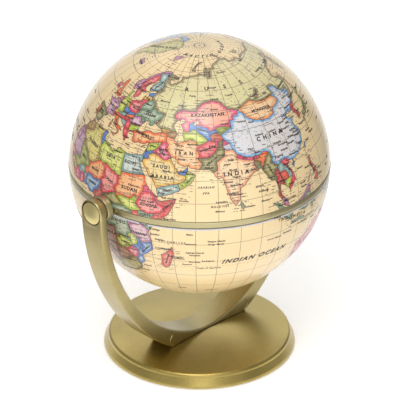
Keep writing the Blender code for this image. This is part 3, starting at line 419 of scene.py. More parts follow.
ISLANDS = """
    49.3 -12, 50.2 -15.5, 49.5 -18.2, 47.5 -24, 45.2 -25.5, 43.6 -23.5, 44.3 -20, 44 -17, 46.5 -15.7;
    79.8 8.2, 80.1 9.6, 81.3 8.4, 81.8 7.2, 80.6 6; 53.3 12.6, 54.5 12.5, 53.8 12.3;
    -5.6 50.1, -3.5 50.3, 1.3 51.2, 1.7 52.7, 0.2 53, -1.5 55, -2 57.6, -3.2 58.6, -5 58.5, -5.8 56.5,
    -4.8 54.9, -3 54, -4.4 53.2, -4.3 52, -5.2 51.8, -3 51.4;
    -6.2 52.2, -6 53.6, -5.6 54.6, -7.3 55.3, -10 54.2, -10.2 52;
    -22.5 64, -18.5 63.4, -14 64.6, -15 66.3, -18.5 66, -22.5 66.4, -24 65.5;
    15 76.7, 21 78.5, 27 80, 20 80.4, 11 79.6; 52 71.3, 57 70.7, 56 73.5, 61 75.5, 68.5 76.8, 60 76.2,
    54.5 73.8; 95 79, 102 78.2, 105 79, 97 81; 138 74.8, 145 73.4, 150 75, 142 76;
    140 41.6, 143.2 42, 145.5 43.3, 142 45.4, 141.5 43.3;
    131 34.2, 133 34.4, 135.7 33.6, 139 34.8, 140.8 35.7, 141.9 39.3, 141.3 41.3, 140 40.5,
    139.4 38.3, 137 37, 136 35.8, 132.7 35.5; 130 33.2, 131.8 33.4, 131.3 31.3, 130.2 31.3;
    132.2 33.6, 134.5 34.2, 134 33.3, 132.8 32.8; 142 46, 143.6 49, 143.3 52, 142.7 54.3, 142 52,
    142.2 49; 120.2 23, 121.5 25.2, 121.9 24.8, 120.9 22; 108.7 19.3, 110.3 20.1, 111 19.7, 109.6 18.2;
    120.4 16, 120.7 18.5, 122.2 18.4, 121.6 15.9, 123.9 13, 123.3 12.9, 120.6 13.9;
    122 11.8, 124.5 12.3, 125.5 11, 124 9.6, 122.5 9.3;
    122.2 7, 123.8 8.4, 125.6 9.8, 126.5 7.5, 125.4 5.7, 124 6.6; 117.3 8.4, 119.4 11.3, 118 8.9;
    109 1.5, 110 -1.5, 112 -3.2, 114.5 -4, 116.3 -3.5, 117.6 0.7, 119 1, 118 4.2, 119.2 5.3, 117 7,
    115.4 5.3, 113 3.2, 111.2 2.5, 109.8 2;
    95.3 5.6, 97.5 5.2, 100.4 2.6, 103.5 0, 106 -3, 105.8 -5.8, 104.3 -5.7, 101 -2.6, 98.8 1.6;
    105.2 -6.7, 108.5 -6.6, 111 -6.4, 114.5 -7.7, 114.4 -8.7, 110 -8.1, 106.5 -7.4;
    119.6 -5.5, 119 -3, 119.9 0.4, 121 1.2, 125 1.6, 124 0.4, 120.3 0.4, 121.3 -1, 123.3 -0.8,
    121.8 -2, 122.8 -4.2, 121.2 -3, 120.4 -5.6;
    131 -0.8, 134 -0.8, 135 -3.3, 138 -1.7, 141 -2.6, 145.5 -4.5, 147.8 -6.2, 150.8 -10.3, 147 -9.5,
    144 -7.7, 142.5 -9.2, 138.3 -8.3, 138 -5.6, 133 -4, 132 -2.8;
    123.6 -10.3, 125 -8.8, 127.2 -8.4, 125 -9.6; 115.2 -8.3, 119 -8.3, 122.8 -8.3, 121 -8.9, 117 -9,
    115.3 -8.8; 127.5 1.8, 128.5 1, 128 -0.8, 127.6 0.5; 92.7 13.5, 93 12, 92.6 11.5;
    173 -34.8, 175.5 -36.8, 178.4 -37.8, 175.3 -41.5, 173.8 -39.3, 174.8 -37.5;
    172.8 -40.6, 174.2 -41.8, 171 -44.5, 169 -46.5, 166.6 -45.8, 171 -42.3;
    144.7 -40.7, 148.2 -41, 147.3 -43.3, 145.6 -42.7; 12.5 38, 15.6 38.2, 15.1 36.8;
    8.2 41, 9.6 41, 9.5 39.2, 8.5 39; 8.6 42.5, 9.5 42.9, 9.3 41.5; 23.6 35.5, 26.3 35.2, 24.8 34.9;
    32.3 35, 34.5 35.6, 33 34.6; -84.8 21.9, -82.5 23.1, -79.5 22.9, -74.3 20.2, -77.5 19.9, -78.5 21.4;
    -74.4 18.5, -72.8 19.9, -68.4 18.6, -71.5 17.8; -78.2 18.4, -76.3 18.1, -77.5 17.8;
    -59.2 47.8, -56 51.5, -53 47, -56 47; -128 50.8, -125 50.2, -123.4 48.5;
    -80 73.7, -73 71.5, -67 69.2, -62 66.8, -65 62, -71 63, -74 64.8, -73 67.8, -85 70, -89 71,
    -84 73.6;
    -117 71, -114 69.3, -105 69, -105 72.8, -115 73.3; -125 72, -118 73.5, -121 76, -125 74;
    -62 82.5, -85 82.2, -91 79, -81 76.3, -78 77.5; -95 75, -80 74.6, -80 75.7, -95 76.8;
    -87 65.5, -80 64, -84 63; -61 -51.5, -58 -51.5, -59.5 -52.3; -156 20.2, -155 19.6, -155.8 19
"""

SMALL_LAKES = """
    -92 46.8, -88 48.8, -84.7 47, -87.5 46.6; -87.7 41.8, -86.2 42.5, -85 45.7, -87.5 45;
    -84.5 46, -80 45, -82 43.2, -83.5 44.5; -83.2 41.8, -79 42.8, -76.5 44, -79.5 43.4;
    -123 66, -119 66.5, -121 65; -116 61.2, -110 62.5, -114 62; -98.5 53.5, -96.5 50.6, -97.5 50.8;
    29.3 -3.5, 30.8 -8, 29.5 -5.5; 34.2 -10, 35 -14, 34.3 -12; 30.5 61.5, 32.5 61, 31.5 60.2
"""

MORE_BORDERS = """
    109.4 2.2, 111 1, 114 1.5, 115.5 3.5, 118.2 4.3; 141 -2.2, 141 -9.4;
    74.5 37, 73.5 34.6, 75.6 32.6, 78.6 32.6; 88.2 28, 88.6 26.8, 89.6 25.2, 91.8 25.1;
    36.4 46.2, 36.7 45.9; 36.6 45.8, 36.5 44.9
"""

# Paint schemes of the countries: pale inside, strong band at the border, and one place in each
PAINTS = {
    "khaki": ((224, 214, 152), (152, 138, 92), "Russia 90 60, Sakhalin 142.9 50.5, "
              "Novaya Zemlya 55 72.5, Severnaya Zemlya 99 79.7, New Siberia 143 75"),
    "peach": ((247, 166, 138), (232, 78, 122), "Kazakhstan 67 48, Peru -75 -10, Bolivia -64.5 -17"),
    "apricot": ((253, 205, 150), (250, 160, 90), "Mongolia 103 46.5, Iran 54 32, Argentina -65 -35"),
    "salmon": ((253, 216, 168), (245, 165, 120), "India 78 22, Andamans 92.8 12.4"),
    "ice": ((222, 222, 228), (120, 180, 230), "China 103 34, Canada -105 60, Baffin -72 68.5, "
            "Victoria -110 71, Ellesmere -76 80, Devon -88 75.5, Banks -121 74"),
    "snow": ((236, 234, 230), (190, 190, 205), "Kashmir 76 34.3"),
    "olive": ((175, 165, 100), (120, 115, 60), "Pakistan 67.5 28, Myanmar 95.8 20.5, "
              "Central Africa 21 6.5, Spain -4 40, South Africa 24 -30.5, Bangladesh 90 24.2"),
    "red": ((240, 110, 110), (225, 60, 80), "Afghanistan 66 33.8, Sweden 15.5 61"),
    "rose": ((240, 130, 160), (225, 50, 100), "Iraq 43.5 32.5, Nepal 83.5 28.3, Zimbabwe 29.5 -19"),
    "gold": ((240, 210, 130), (235, 180, 70), "Arabia 45 24.5, Chile -70.5 -25, Alaska -152 65"),
    "mist": ((200, 216, 212), (132, 170, 168), "Yemen 47 15.8, Egypt 29 26.5, Laos 102.5 20, "
             "Finland 26 63, Colombia -73 4, Uruguay -56 -33"),
    "lime": ((222, 228, 106), (176, 194, 40), "Oman 56.5 20.5, Libya 17.5 27, Cambodia 105 12.7, "
             "Turkmenistan 59.5 39.5, South Sudan 30 7.5, Zambia 26 -14.5, Syria 38.3 35, "
             "Bulgaria 25 42.8, Germany 10 51"),
    "azure": ((150, 190, 220), (60, 120, 200), "Emirates 54.5 23.4, Mozambique 36.5 -16, "
              "Uzbekistan 63.5 41.8, Tunisia 9.5 34.5, Nigeria 8 10, Czechia 15.5 49.8, Jordan 36 31, "
              "Israel 34.9 32, Hainan 109.8 19.2, Taiwan 121 23.8, Estonia 26 58.8, Malawi 33.8 -13"),
    "orange": ((252, 174, 100), (240, 104, 40), "Turkey 33 39.2, Niger 9.5 17.3, Sudan 30 15, "
               "Tajikistan 71 38.8, Italy 12.3 43, Sicily 14.2 37.5, Portugal -8 39.5, "
               "Britain -1.5 52.5, Mexico -102 24, Assam 93.5 26.6, Sardinia 9 40"),
    "coral": ((235, 95, 70), (215, 60, 50), "Somalia 48 7, Thailand 101 15.5, Madagascar 46.8 -19.5, "
              "South Korea 127.5 36.5, North Korea 127 40, Luzon 121 16.5, Visayas 123.5 11, "
              "Mindanao 125 7.5, Uganda 32.3 2.3, Cameroon 12.5 5"),
    "crimson": ((245, 138, 134), (230, 36, 72), "Vietnam 105.5 21.5, Chad 19 15, Poland 19.5 52, "
                "Serbia 21 44, Greece 22 39.5, Ethiopia 40 8.5"),
    "lilac": ((225, 180, 200), (190, 120, 160), "Norway 9 61, Iceland -18.5 65, Svalbard 18 79, "
              "France 2.5 47, Romania 25 46, Mauritania -10 20, Sahara -13 25, Tanzania 35 -6.5, "
              "Malaya 102.3 4, Sarawak 114.5 3.5, Venezuela -65 7"),
    "sage": ((170, 190, 165), (120, 155, 120), "Kenya 38 3, Kenya 38.5 -2.6, Congo 24 3, Congo 23 -4, "
             "Ukraine 31 49, Sumatra 98.9 3, Sumatra 103 -3, Borneo 115.5 2.2, Borneo 114 -2.6, "
             "Java 110 -7.3, Sulawesi 120.3 -3, Papua 137.5 -4.2, United States -100 40"),
    "mustard": ((230, 213, 116), (190, 156, 66), "Algeria 3 28, Brazil -52 -10, Brazil -61 2.8"),
    "brass": ((200, 160, 80), (160, 110, 40), "Morocco -6 32, Azerbaijan 48 40.2"),
    "moss": ((190, 190, 90), (140, 150, 50), "Mali -1 18.5, Kyrgyzstan 74.5 41.5, Honshu 138 36, "
             "Hokkaido 143 43.3, Kyushu 131 32.5, Shikoku 133.4 33.6"),
    "brown": ((190, 120, 100), (150, 80, 70), "Namibia 17 -22, Angola 17.5 -12, Botswana 24 -22"),
    "straw": ((214, 206, 122), (180, 168, 78), "Greenland -40 72"),
    "brick": ((228, 104, 116), (208, 66, 92), "Australia 134 -25, Tasmania 146.5 -42"),
    "frost": ((244, 238, 226), (205, 195, 180), "Antarctica 90 -80"),
}
SPARE_PAINTS = ("azure", "rose", "lime", "orange", "lilac", "mist", "gold", "coral", "sage", "peach")
OCEAN = ((251, 223, 167), (226, 196, 146))

# Names: text, longitude, latitude, height of capitals in mm, heading in degrees, letter spacing
COUNTRY_NAMES = """
    CHINA 101.2 34.6 1.6 0 2.1; INDIA 78.9 22.4 1.5 0 1.9; IRAN 54.2 32.2 1.25 0 2.0;
    KAZAKHSTAN 67 48.6 1.25 0 1.1; MONGOLIA 103.5 46.6 1.15 -3 1.0; TURKEY 34.5 39.2 1.0 0 1.05;
    SAUDI 44 26.2 1.15 0 1.6; ARABIA 45 21.8 1.15 0 1.7; EGYPT 29.2 27 1.15 0 1.15;
    LIBYA 17.6 27.6 1.2 0 1.1; ALGERIA 2.8 28 1.2 -8 1.05; SUDAN 30 14.4 1.3 0 1.2;
    NIGER 9.3 17.4 1.0 0 1.1; CHAD 19 16 1.0 -20 1.1; ETHIOPIA 39.5 8 1.1 0 1.0;
    KENYA 38 2.7 0.9 0 1.0; TANZANIA 34.5 -7.4 0.95 0 1.0; YEMEN 47.6 15.7 0.85 12 1.0;
    SOMALIA 47.8 8.6 0.8 40 1.0; OMAN 57 20.4 0.75 50 1.0; MALI -1.5 18.4 1.0 0 1.2;
    NIGERIA 8 9.8 0.9 0 1.0; PAKISTAN 67.8 28.6 0.75 35 1.0; AFGHANISTAN 66 33.8 0.7 15 0.9;
    UZBEKISTAN 63.6 41.9 0.65 -20 0.9; IRAQ 43.5 32.6 0.9 -30 1.0; SYRIA 38.4 35.2 0.65 0 1.0;
    UKRAINE 31.5 49.2 0.85 0 1.0; POLAND 19.4 52.3 0.75 0 1.0; GERMANY 10.2 51 0.7 0 0.95;
    FRANCE 2.6 47 0.85 0 1.1; SPAIN -3.8 40.2 0.85 0 1.1; ITALY 12.3 43 0.6 -45 1.0;
    SWEDEN 15.6 62 0.8 60 1.1; FINLAND 26.5 63.5 0.75 70 1.0; NORWAY 9.3 61.3 0.7 50 1.0;
    MYANMAR 96 21 0.6 -70 1.0; THAILAND 101.4 15.5 0.7 -70 1.0; VIETNAM 106.6 18.3 0.55 -50 1.0;
    MALAYSIA 104.6 5 0.95 0 1.0; INDONESIA 106.5 -4.5 1.3 -8 1.6; MADAGASCAR 46.9 -19.3 0.6 72 1.0;
    CONGO 23 -4 1.3 0 1.4; ANGOLA 17.5 -12 1.1 0 1.2; ZAMBIA 26.5 -14.6 0.8 0 1.0;
    NAMIBIA 17.2 -22 0.75 -70 1.0; BOTSWANA 23.8 -22 0.7 0 1.0; MOZAMBIQUE 37 -15.6 0.6 50 1.0;
    JAPAN 138 36.3 0.7 40 1.2; PHILIPPINES 122 12.9 0.7 -60 1.0; NEPAL 84 28.2 0.5 -15 1.0;
    CANADA -105 59 2.0 0 2.2; GREENLAND -41 73 1.3 60 1.4; MEXICO -102 24 1.1 -30 1.3;
    BRAZIL -53 -9 2.0 0 1.8; PERU -75 -10 0.9 -50 1.2; BOLIVIA -64.5 -17 0.9 0 1.0;
    ARGENTINA -66 -34 1.2 -80 1.3; CHILE -70.8 -30 0.6 -88 1.3; COLOMBIA -73 4 0.8 0 1.0;
    VENEZUELA -65.5 7 0.7 0 1.0; AUSTRALIA 134 -25 2.1 0 1.9; ALASKA -152 65.5 0.9 0 1.1;
    AMERICA -98 39.5 1.8 0 1.6; ANTARCTICA 90 -80 1.6 0 1.5;
    SEYCHELLES 49.6 -9.2 0.75 0 1.9; MALDIVES 70.6 8.6 0.75 0 1.5; COMOROS 44.9 -13.4 0.7 0 1.2
"""

SEA_NAMES = """
    INDIAN_OCEAN 88.2 -20.4 2.15 1 1.36; ATLANTIC -32 22 2.2 0 1.6;
    OCEAN -32 15.5 2.2 0 1.6; PACIFIC 180 14 2.5 0 1.8; OCEAN 180 7 2.5 0 1.8;
    SOUTH -15 -17 2.0 0 1.6; ATLANTIC -15 -24 2.0 0 1.6; PACIFIC -120 -20 2.5 0 1.8;
    OCEAN -120 -27 2.5 0 1.8; ARCTIC 58 80.9 1.4 0 2.0; OCEAN 152 80.3 1.4 0 2.1;
    ARABIAN 64.5 17.4 0.8 0 1.5; SEA 64.5 14.9 0.8 0 1.6; BENGAL 89.3 14.9 0.65 0 1.1
"""

WIDE_NAME = ("RUSSIA", 51, 135, 61.4, 1.7)    # letters, first and last longitude, latitude, height

SMALL_NAMES = """
    Beijing 116.2 39.6, Shanghai 118.6 31.2, Wuhan 113.6 30.6, Xian 108.6 34.3, Lanzhou 103.3 36.2,
    Chengdu 103.6 30.7, Chongqing 106.7 29.3, Kunming 102.4 25, Guangzhou 111.7 23.4, Tibet 88 31.4,
    Harbin 126.3 45.8, Shenyang 123 42, Tianjin 116 38.3, Jinan 115.8 36.3, Nanjing 117 32.6,
    Changsha 112 28.2, Guiyang 106.6 26.8, Fuzhou 118 26.2, Zhengzhou 112.7 34.8,
    Taiyuan 111.4 37.8, Hami 93 42.6, Urumqi 87.2 43.8, Lhasa 91 29.6, Golmud 95 36.4,
    Hangzhou 118.8 29.8, Delhi 77 28.4, Mumbai 74.8 19, Kolkata 86.5 22.6, Chennai 78.6 13.2,
    Bengaluru 76.4 13.9, Nagpur 79 20.9, Jaipur 75 26.6, Hyderabad 78.4 17.4, Bhopal 77.6 24,
    Patna 84.5 25.4, Karachi 66.4 25.8, Lahore 72.4 30.9, Kabul 68.4 34.9, Tehran 51.6 35.6,
    Isfahan 51.8 33.8, Shiraz 53 29.6, Mashhad 58.2 36, Baghdad 44 33.9, Riyadh 46.6 24.4,
    Mecca 40.8 21.6, Sanaa 45 14.6, Muscat 57.6 23.2, Dubai 54.4 24.2, Cairo 30.4 30, Aswan 32 24.2,
    Khartoum 32 16.4, Ankara 32.8 40.4, Istanbul 29.4 41.2, Tripoli 13.6 32.2, Benghazi 21 31,
    Algiers 3.4 36, Moscow 37.6 55.7, Samara 50 53.4, Perm 56.3 58, Omsk 73.4 55.8, Tomsk 85 56.8,
    Norilsk 88 69, Yakutsk 129.5 62, Chita 113.4 52.4, Irkutsk 103 53.4, Magadan 150.5 61,
    Murmansk 34 68, Surgut 73 61.6, Tiksi 127 70.6, Khabarovsk 134 50.6, Vladivostok 134 44,
    Astana 71.4 51, Almaty 76.6 44, Kyiv 30.4 50.6, Minsk 27.6 54, Warsaw 20.8 51.3,
    Berlin 12.8 52.8, Paris 2.4 48.8, Lyon 4.6 45.6, Madrid -3.7 41.3, Lisbon -8.6 38.4,
    Rome 12.6 41.9, Milan 9.4 45.6, Vienna 15 48.3, Budapest 19.4 46.9, Bucharest 25.6 44.6,
    Athens 22.6 38.4, London -1.2 51.8, Oslo 10.4 60.2, Stockholm 16 59.6, Helsinki 24.8 61,
    Riga 25 56.6, Reykjavik -19.6 64.6, Hanoi 105.4 20.6, Bangkok 100.4 14.3, Saigon 106.4 11.4,
    Yangon 95.6 17.4, Manila 118 14.6, Cebu 127.4 10.6, Davao 128.6 7.4, Okinawa 130.6 26.6,
    Tokyo 143 35.4, Osaka 138 33, Sapporo 147 43.3, Sendai 144.6 38.2, Nagasaki 126.6 32.4,
    Ryukyu 128.4 28.2, Bonin 144 27, Guam 146.4 13.6, Palau 136.4 7.6, Yap 139.6 9.6,
    Taipei 124.4 25, Seoul 129.6 37.6, Paracel 113 16.2, Spratly 113.4 9.2, Nansha 114 7.4,
    Addis_Ababa 38.6 9.8, Mogadishu 48.8 2.4, Nairobi 37 -2.2, Mombasa 42 -3.6, Dodoma 35.2 -7.4,
    Zanzibar 42 -6.2, Aldabra 44 -8.6, Mayotte 46.8 -13.4, Mauritius 59.4 -20.2, Reunion 56 -21.9,
    Rodrigues 65.6 -19.6, Amirante 58 -9.7, Mahe 57.4 -4.6, Agalega_Islands 59.6 -14.5,
    Farquhar 59.6 -16, Chagos_Islands 69 -8.2, Diego_Garcia 69 -9.8, Cocos_Islands 96.8 -12.4,
    Christmas 104 -11.6, Minicoy 70.6 6.4, Laccadive 71.4 10.6, Colombo 84 7, Andaman 91 12.6,
    Nicobar 91.6 8, Socotra 55 11.4, Gulf_of_Aden 48.4 12.3, Tropic_of_Capricorn 66 -24.4,
    Crozet 51 -44, Kerguelen 69.6 -47, Antananarivo 50.9 -17.4, Toamasina 52 -18.4, Maputo 36 -26.4,
    Durban 33.6 -30.4, Harare 30.8 -17.4, Lusaka 28 -15.6, Kinshasa 16.4 -4.8, Lubumbashi 27 -11,
    Luanda 15 -9.4, Pretoria 27.4 -25.4, Cape_Town 20.4 -33.3, Jakarta 107.2 -7.9, Medan 99.6 3.6,
    Padang 97.4 -1.9, Surabaya 112.6 -9.9, Perth 118 -31.4, Darwin 131.6 -13.6, Sydney 149 -33.2,
    Bali 116 -10.2, Timor 122 -11.4, Hawaii -157 21.6, Fiji 178 -17.6, Samoa -171 -13.6,
    Tahiti -149 -17.4, Azores -28 38.6, Madeira -18 32.6, Canarias -17 28.6, Cape_Verde -25 15,
    Bermuda -64.6 32.4, Cuba -79 22.2, Havana -82 24.2, Lima -75.4 -12, Quito -77.6 -1.7,
    Bogota -73.6 4.9, Caracas -66.6 9.6, Brasilia -48 -15.6, Manaus -60 -3.2, Recife -37 -8.2,
    Santiago -69.4 -33.4, Cordoba -64 -31.2, Chicago -89 41.2, Denver -105 40.2, Texas -99 31.6,
    Toronto -79.4 44.6, Ottawa -75.6 46.4, New_York -76.4 42, Seattle -120.4 47.4,
    Vancouver -121.4 50, Winnipeg -99 50.6, Havre -110 48
"""


# ---------------------------------------------------------------- small tools

def linear(rgb):
    """An 8-bit screen colour as the shader's linear colour."""
    return (*(((c / 255 + 0.055) / 1.055) ** 2.4 if c > 10 else c / 3294.6 for c in rgb), 1.0)


def read_outlines(text):
    """Lists of (longitude, latitude) from text: ';' parts outlines and ',' parts points."""
    outlines = []
    for outline in text.split(";"):
        points = [tuple(float(number) for number in point.split())
                  for point in outline.split(",") if point.strip()]
        if points:
            outlines.append(points)
    return outlines


def on_globe(longitude, latitude):
    """The unit vector to a printed place. The paper has slipped a little round Europe."""
    slip = math.exp(-((longitude - SLIP_MIDDLE) / SLIP_WIDTH) ** 2)
    slip *= max(0, math.sin(math.radians(2 * latitude)))
    turn = math.radians(longitude - SLIP_WEST * slip + MAP_TURN)
    rise = math.radians(latitude - SLIP_SOUTH * slip)
    return Vector((math.cos(rise) * math.cos(turn), math.cos(rise) * math.sin(turn), math.sin(rise)))


def add_piece(name, mesh, body, materials, stands_for=()):
    """Puts a mesh in the scene on its body, and hides the CAD nodes that it stands for."""
    piece = bpy.data.objects.new(name, mesh)
    bpy.context.scene.collection.objects.link(piece)
    for material in materials:
        mesh.materials.append(material)
    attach(piece, body)
    if stands_for:
        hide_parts(*stands_for)


def mesh_from(points, faces, offset=Vector()):
    """A mesh from points in millimetres, with its faces turned outwards."""
    mesh = bpy.data.meshes.new("mesh")
    mesh.from_pydata([(Vector(point) + offset) * MM for point in points], [], faces)
    tidy_mesh(mesh)
    return mesh


def evaluated_mesh(data):
    """The mesh that a curve or a text makes."""
    holder = bpy.data.objects.new("holder", data)
    bpy.context.scene.collection.objects.link(holder)
    graph = bpy.context.evaluated_depsgraph_get()
    mesh = bpy.data.meshes.new_from_object(holder.evaluated_get(graph))
    bpy.data.objects.remove(holder)
    return mesh


def tidy_mesh(mesh):
    """Turns the faces outwards and shades them smooth where they meet at a shallow angle."""
    shape = bmesh.new()
    shape.from_mesh(mesh)
    bmesh.ops.recalc_face_normals(shape, faces=shape.faces)
    shape.to_mesh(mesh)
    shape.free()
    mesh.shade_smooth()
    mesh.set_sharp_from_angle(angle=math.radians(SMOOTH_ANGLE))


# ---------------------------------------------------------------- map outlines

def roughened(point, roughness):
    """A place moved a little by smooth noise, so that an outline looks drawn from nature."""
    shift = Vector()
    for size, frequency in roughness:
        shift += noise.noise_vector(point * frequency) * size
    return (point + shift).normalized()


def dense_line(outline, roughness, closed):
    """An outline as unit vectors a short step apart."""
    corners = outline + outline[:1] if closed else outline
    line = []
    for (lon_a, lat_a), (lon_b, lat_b) in zip(corners, corners[1:]):
        span = on_globe(lon_a, lat_a).angle(on_globe(lon_b, lat_b), 0)
        steps = max(1, round(math.degrees(span) / OUTLINE_STEP))
        turn = (lon_b - lon_a + 180) % 360 - 180
        for step in range(steps):
            part = step / steps
            place = on_globe(lon_a + turn * part, lat_a + (lat_b - lat_a) * part)
            line.append(roughened(place, roughness))
    line.append(line[0] if closed else roughened(on_globe(*corners[-1]), roughness))
    return line


def overrun(outline):
    """A border with both ends carried on, so that it surely crosses what it should meet."""
    ends = []
    for (lon_a, lat_a), (lon_b, lat_b) in ((outline[0], outline[1]), (outline[-1], outline[-2])):
        reach = math.hypot(lon_a - lon_b, lat_a - lat_b) or 1
        ends.append((lon_a + (lon_a - lon_b) / reach * BORDER_OVERRUN,
                     lat_a + (lat_a - lat_b) / reach * BORDER_OVERRUN))
    return [ends[0]] + outline + [ends[1]]


def all_outlines():
    """Coasts and lakes as closed lines, and borders as open ones."""
    noise.seed_set(OUTLINE_SEED)
    coasts = [read_outlines(text)[0] for text in COASTS.values()] + read_outlines(ISLANDS)
    lakes = [read_outlines(text)[0] for text in LAKES.values()] + read_outlines(SMALL_LAKES)
    borders = read_outlines(BORDERS) + read_outlines(MORE_BORDERS)
    shores = [dense_line(outline, COAST_ROUGHNESS, True) for outline in coasts + lakes]
    inland = [dense_line(overrun(outline), BORDER_ROUGHNESS, False) for outline in borders]
    return shores, inland


# ---------------------------------------------------------------- map mesh

def flatten(place, half):
    """A place in the flat plan of one half: its distance from that pole keeps its size."""
    away = 90 - half * math.degrees(math.asin(max(-1, min(1, place.z))))
    flat = math.hypot(place.x, place.y) or 1
    return Vector((place.x / flat * away, place.y / flat * away))


def unflatten(point, half):
    """The place on the unit ball that a point of the flat plan stands for."""
    away = math.radians(point.length)
    flat = math.sin(away)
    length = point.length or 1
    return Vector((point.x / length * flat, point.y / length * flat, half * math.cos(away)))


def ring_points(radius, count):
    """Flat points evenly spaced round a circle."""
    turns = [2 * math.pi * step / count for step in range(count)]
    return [Vector((radius * math.cos(turn), radius * math.sin(turn))) for turn in turns]


def add_outlines(points, edges, half, reach, outlines):
    """Adds the outlines near one half to its plan. Returns their places and the rows beside them."""
    line_places = []
    row_places = []
    for line in outlines:
        previous = None
        for here, there in zip(line, line[1:] + line[-1:]):
            flat = flatten(here, half)
            if flat.length > reach + OUTLINE_MARGIN:
                previous = None
                continue
            if previous is not None:
                edges.append((previous, len(points)))
            previous = len(points)
            points.append(flat)
            line_places.append(here)
            if (there - here).length > SAME_PLACE:
                side = here.cross((there - here).normalized()) * (SIDE_ROW / BALL_RADIUS)
                row_places += [(here + side).normalized(), (here - side).normalized()]
    return line_places, row_places


def plan_of_half(half, rim, shores, inland):
    """Points and fixed edges of one half's flat plan: outlines, rows beside them and a grid."""
    rim_reach = 90 - math.degrees(math.asin(rim / BALL_RADIUS))
    hole_reach = math.degrees(math.asin(POLE_HOLE_RADIUS / BALL_RADIUS))
    points = []
    edges = []
    for reach, count in ((rim_reach, RIM_POINTS), (hole_reach, HOLE_POINTS)):
        start = len(points)
        points += ring_points(reach, count)
        edges += [(start + i, start + (i + 1) % count) for i in range(count)]
    line_places, row_places = add_outlines(points, edges, half, rim_reach, shores + inland)
    lines = KDTree(len(line_places))
    for index, place in enumerate(line_places):
        lines.insert(place, index)
    lines.balance()
    row_clear = ROW_CLEARANCE * SIDE_ROW / BALL_RADIUS
    for place in row_places:
        flat = flatten(place, half)
        if flat.length < rim_reach - RIM_CLEARANCE and lines.find(place)[2] > row_clear:
            points.append(flat)
    grid_clear = math.radians(GRID_CLEARANCE * GRID_STEP)
    rows = int(rim_reach / (GRID_STEP * HEX_ROW)) + 1
    for row in range(-rows, rows + 1):
        for column in range(-rows, rows + 1):
            flat = Vector(((column + 0.5 * (row % 2)) * GRID_STEP, row * GRID_STEP * HEX_ROW))
            if not hole_reach + HOLE_CLEARANCE < flat.length < rim_reach - GRID_RIM_CLEARANCE:
                continue
            if lines.find(unflatten(flat, half))[2] > grid_clear:
                points.append(flat)
    return points, edges, rim_reach, hole_reach


def flood_regions(faces, walls):
    """Groups faces that touch across an edge that isn't a wall. Returns a number for each face."""
    edge_faces = {}
    for index, face in enumerate(faces):
        for a, b in zip(face, face[1:] + face[:1]):
            edge_faces.setdefault((min(a, b), max(a, b)), []).append(index)
    neighbours = [[] for _ in faces]
    for edge, pair in edge_faces.items():
        if len(pair) == 2 and edge not in walls:
            neighbours[pair[0]].append(pair[1])
            neighbours[pair[1]].append(pair[0])
    region = [-1] * len(faces)
    count = 0
    for start in range(len(faces)):
        if region[start] >= 0:
            continue
        region[start] = count
        waiting = [start]
        while waiting:
            for other in neighbours[waiting.pop()]:
                if region[other] < 0:
                    region[other] = count
                    waiting.append(other)
        count += 1
    return region, edge_faces


def inside(point, ring):
    """Whether a flat point is inside a flat ring."""
    odd = False
    for a, b in zip(ring, ring[1:]):
        if (a.y > point.y) != (b.y > point.y):
            if point.x < a.x + (point.y - a.y) / (b.y - a.y) * (b.x - a.x):
                odd = not odd
    return odd


def read_paints():
    """Every painted place: its unit vector and its two colours."""
    places = []
    for fill, band, names in PAINTS.values():
        for name in names.split(","):
            *_, longitude, latitude = name.split()
            places.append((on_globe(float(longitude), float(latitude)), fill, band))
    return places


def measure_regions(region, areas):
    """The size of each region, and its biggest face."""
    size = {}
    biggest = {}
    for face, number in enumerate(region):
        size[number] = size.get(number, 0) + areas[face]
        if number not in biggest or areas[face] > areas[biggest[number]]:
            biggest[number] = face
    return size, biggest


def find_land(middles, biggest, half, shores):
    """Which regions are land: those whose biggest face is inside an odd number of shores."""
    near = [line for line in shores if any(half * place.z > 0 for place in line)]
    rings = [[flatten(place, half) for place in line] for line in near]
    return {number: sum(inside(middles[face], ring) for ring in rings) % 2 == 1
            for number, face in biggest.items()}


def chosen_paints(middles, region, land, half):
    """The paint of each region that a place in PAINTS falls in."""
    finder = KDTree(len(middles))
    for index, middle in enumerate(middles):
        finder.insert((*middle, 0), index)
    finder.balance()
    paint = {}
    for place, fill, band in read_paints():
        if half * place.z > 0:
            number = region[finder.find((*flatten(place, half), 0))[1]]
            if land[number]:
                paint[number] = (fill, band)
    return paint


def spare_paint(number):
    """The paint of a region that no place in PAINTS falls in."""
    fill, band, _ = PAINTS[SPARE_PAINTS[number % len(SPARE_PAINTS)]]
    return fill, band


def shared_edges(edge_faces, region, land):
    """For each region of land, how many edges it shares with each of its neighbours."""
    shared = {}
    for pair in edge_faces.values():
        if len(pair) == 2:
            a, b = region[pair[0]], region[pair[1]]
            if a != b and land[a] and land[b]:
                for one, other in ((a, b), (b, a)):
                    row = shared.setdefault(one, {})
                    row[other] = row.get(other, 0) + 1
    return shared


def paint_regions(middles, areas, region, edge_faces, half, shores):
    """Fill and band colours for each region, after small slips of land join a neighbour."""
    size, biggest = measure_regions(region, areas)
    land = find_land(middles, biggest, half, shores)
    paint = chosen_paints(middles, region, land, half)
    for number in sorted(size):
        if land[number] and number not in paint and size[number] > SMALL_REGION:
            paint[number] = spare_paint(number)
    shared = shared_edges(edge_faces, region, land)
    joined = {}
    for number in sorted(size):
        if not land[number]:
            paint[number] = OCEAN
        elif number not in paint:
            options = [(length, other) for other, length in shared.get(number, {}).items()
                       if other in paint]
            if options:
                joined[number] = max(options)[1]
                paint[number] = paint[joined[number]]
            else:
                paint[number] = spare_paint(number)
    return paint, [joined.get(number, number) for number in region], land


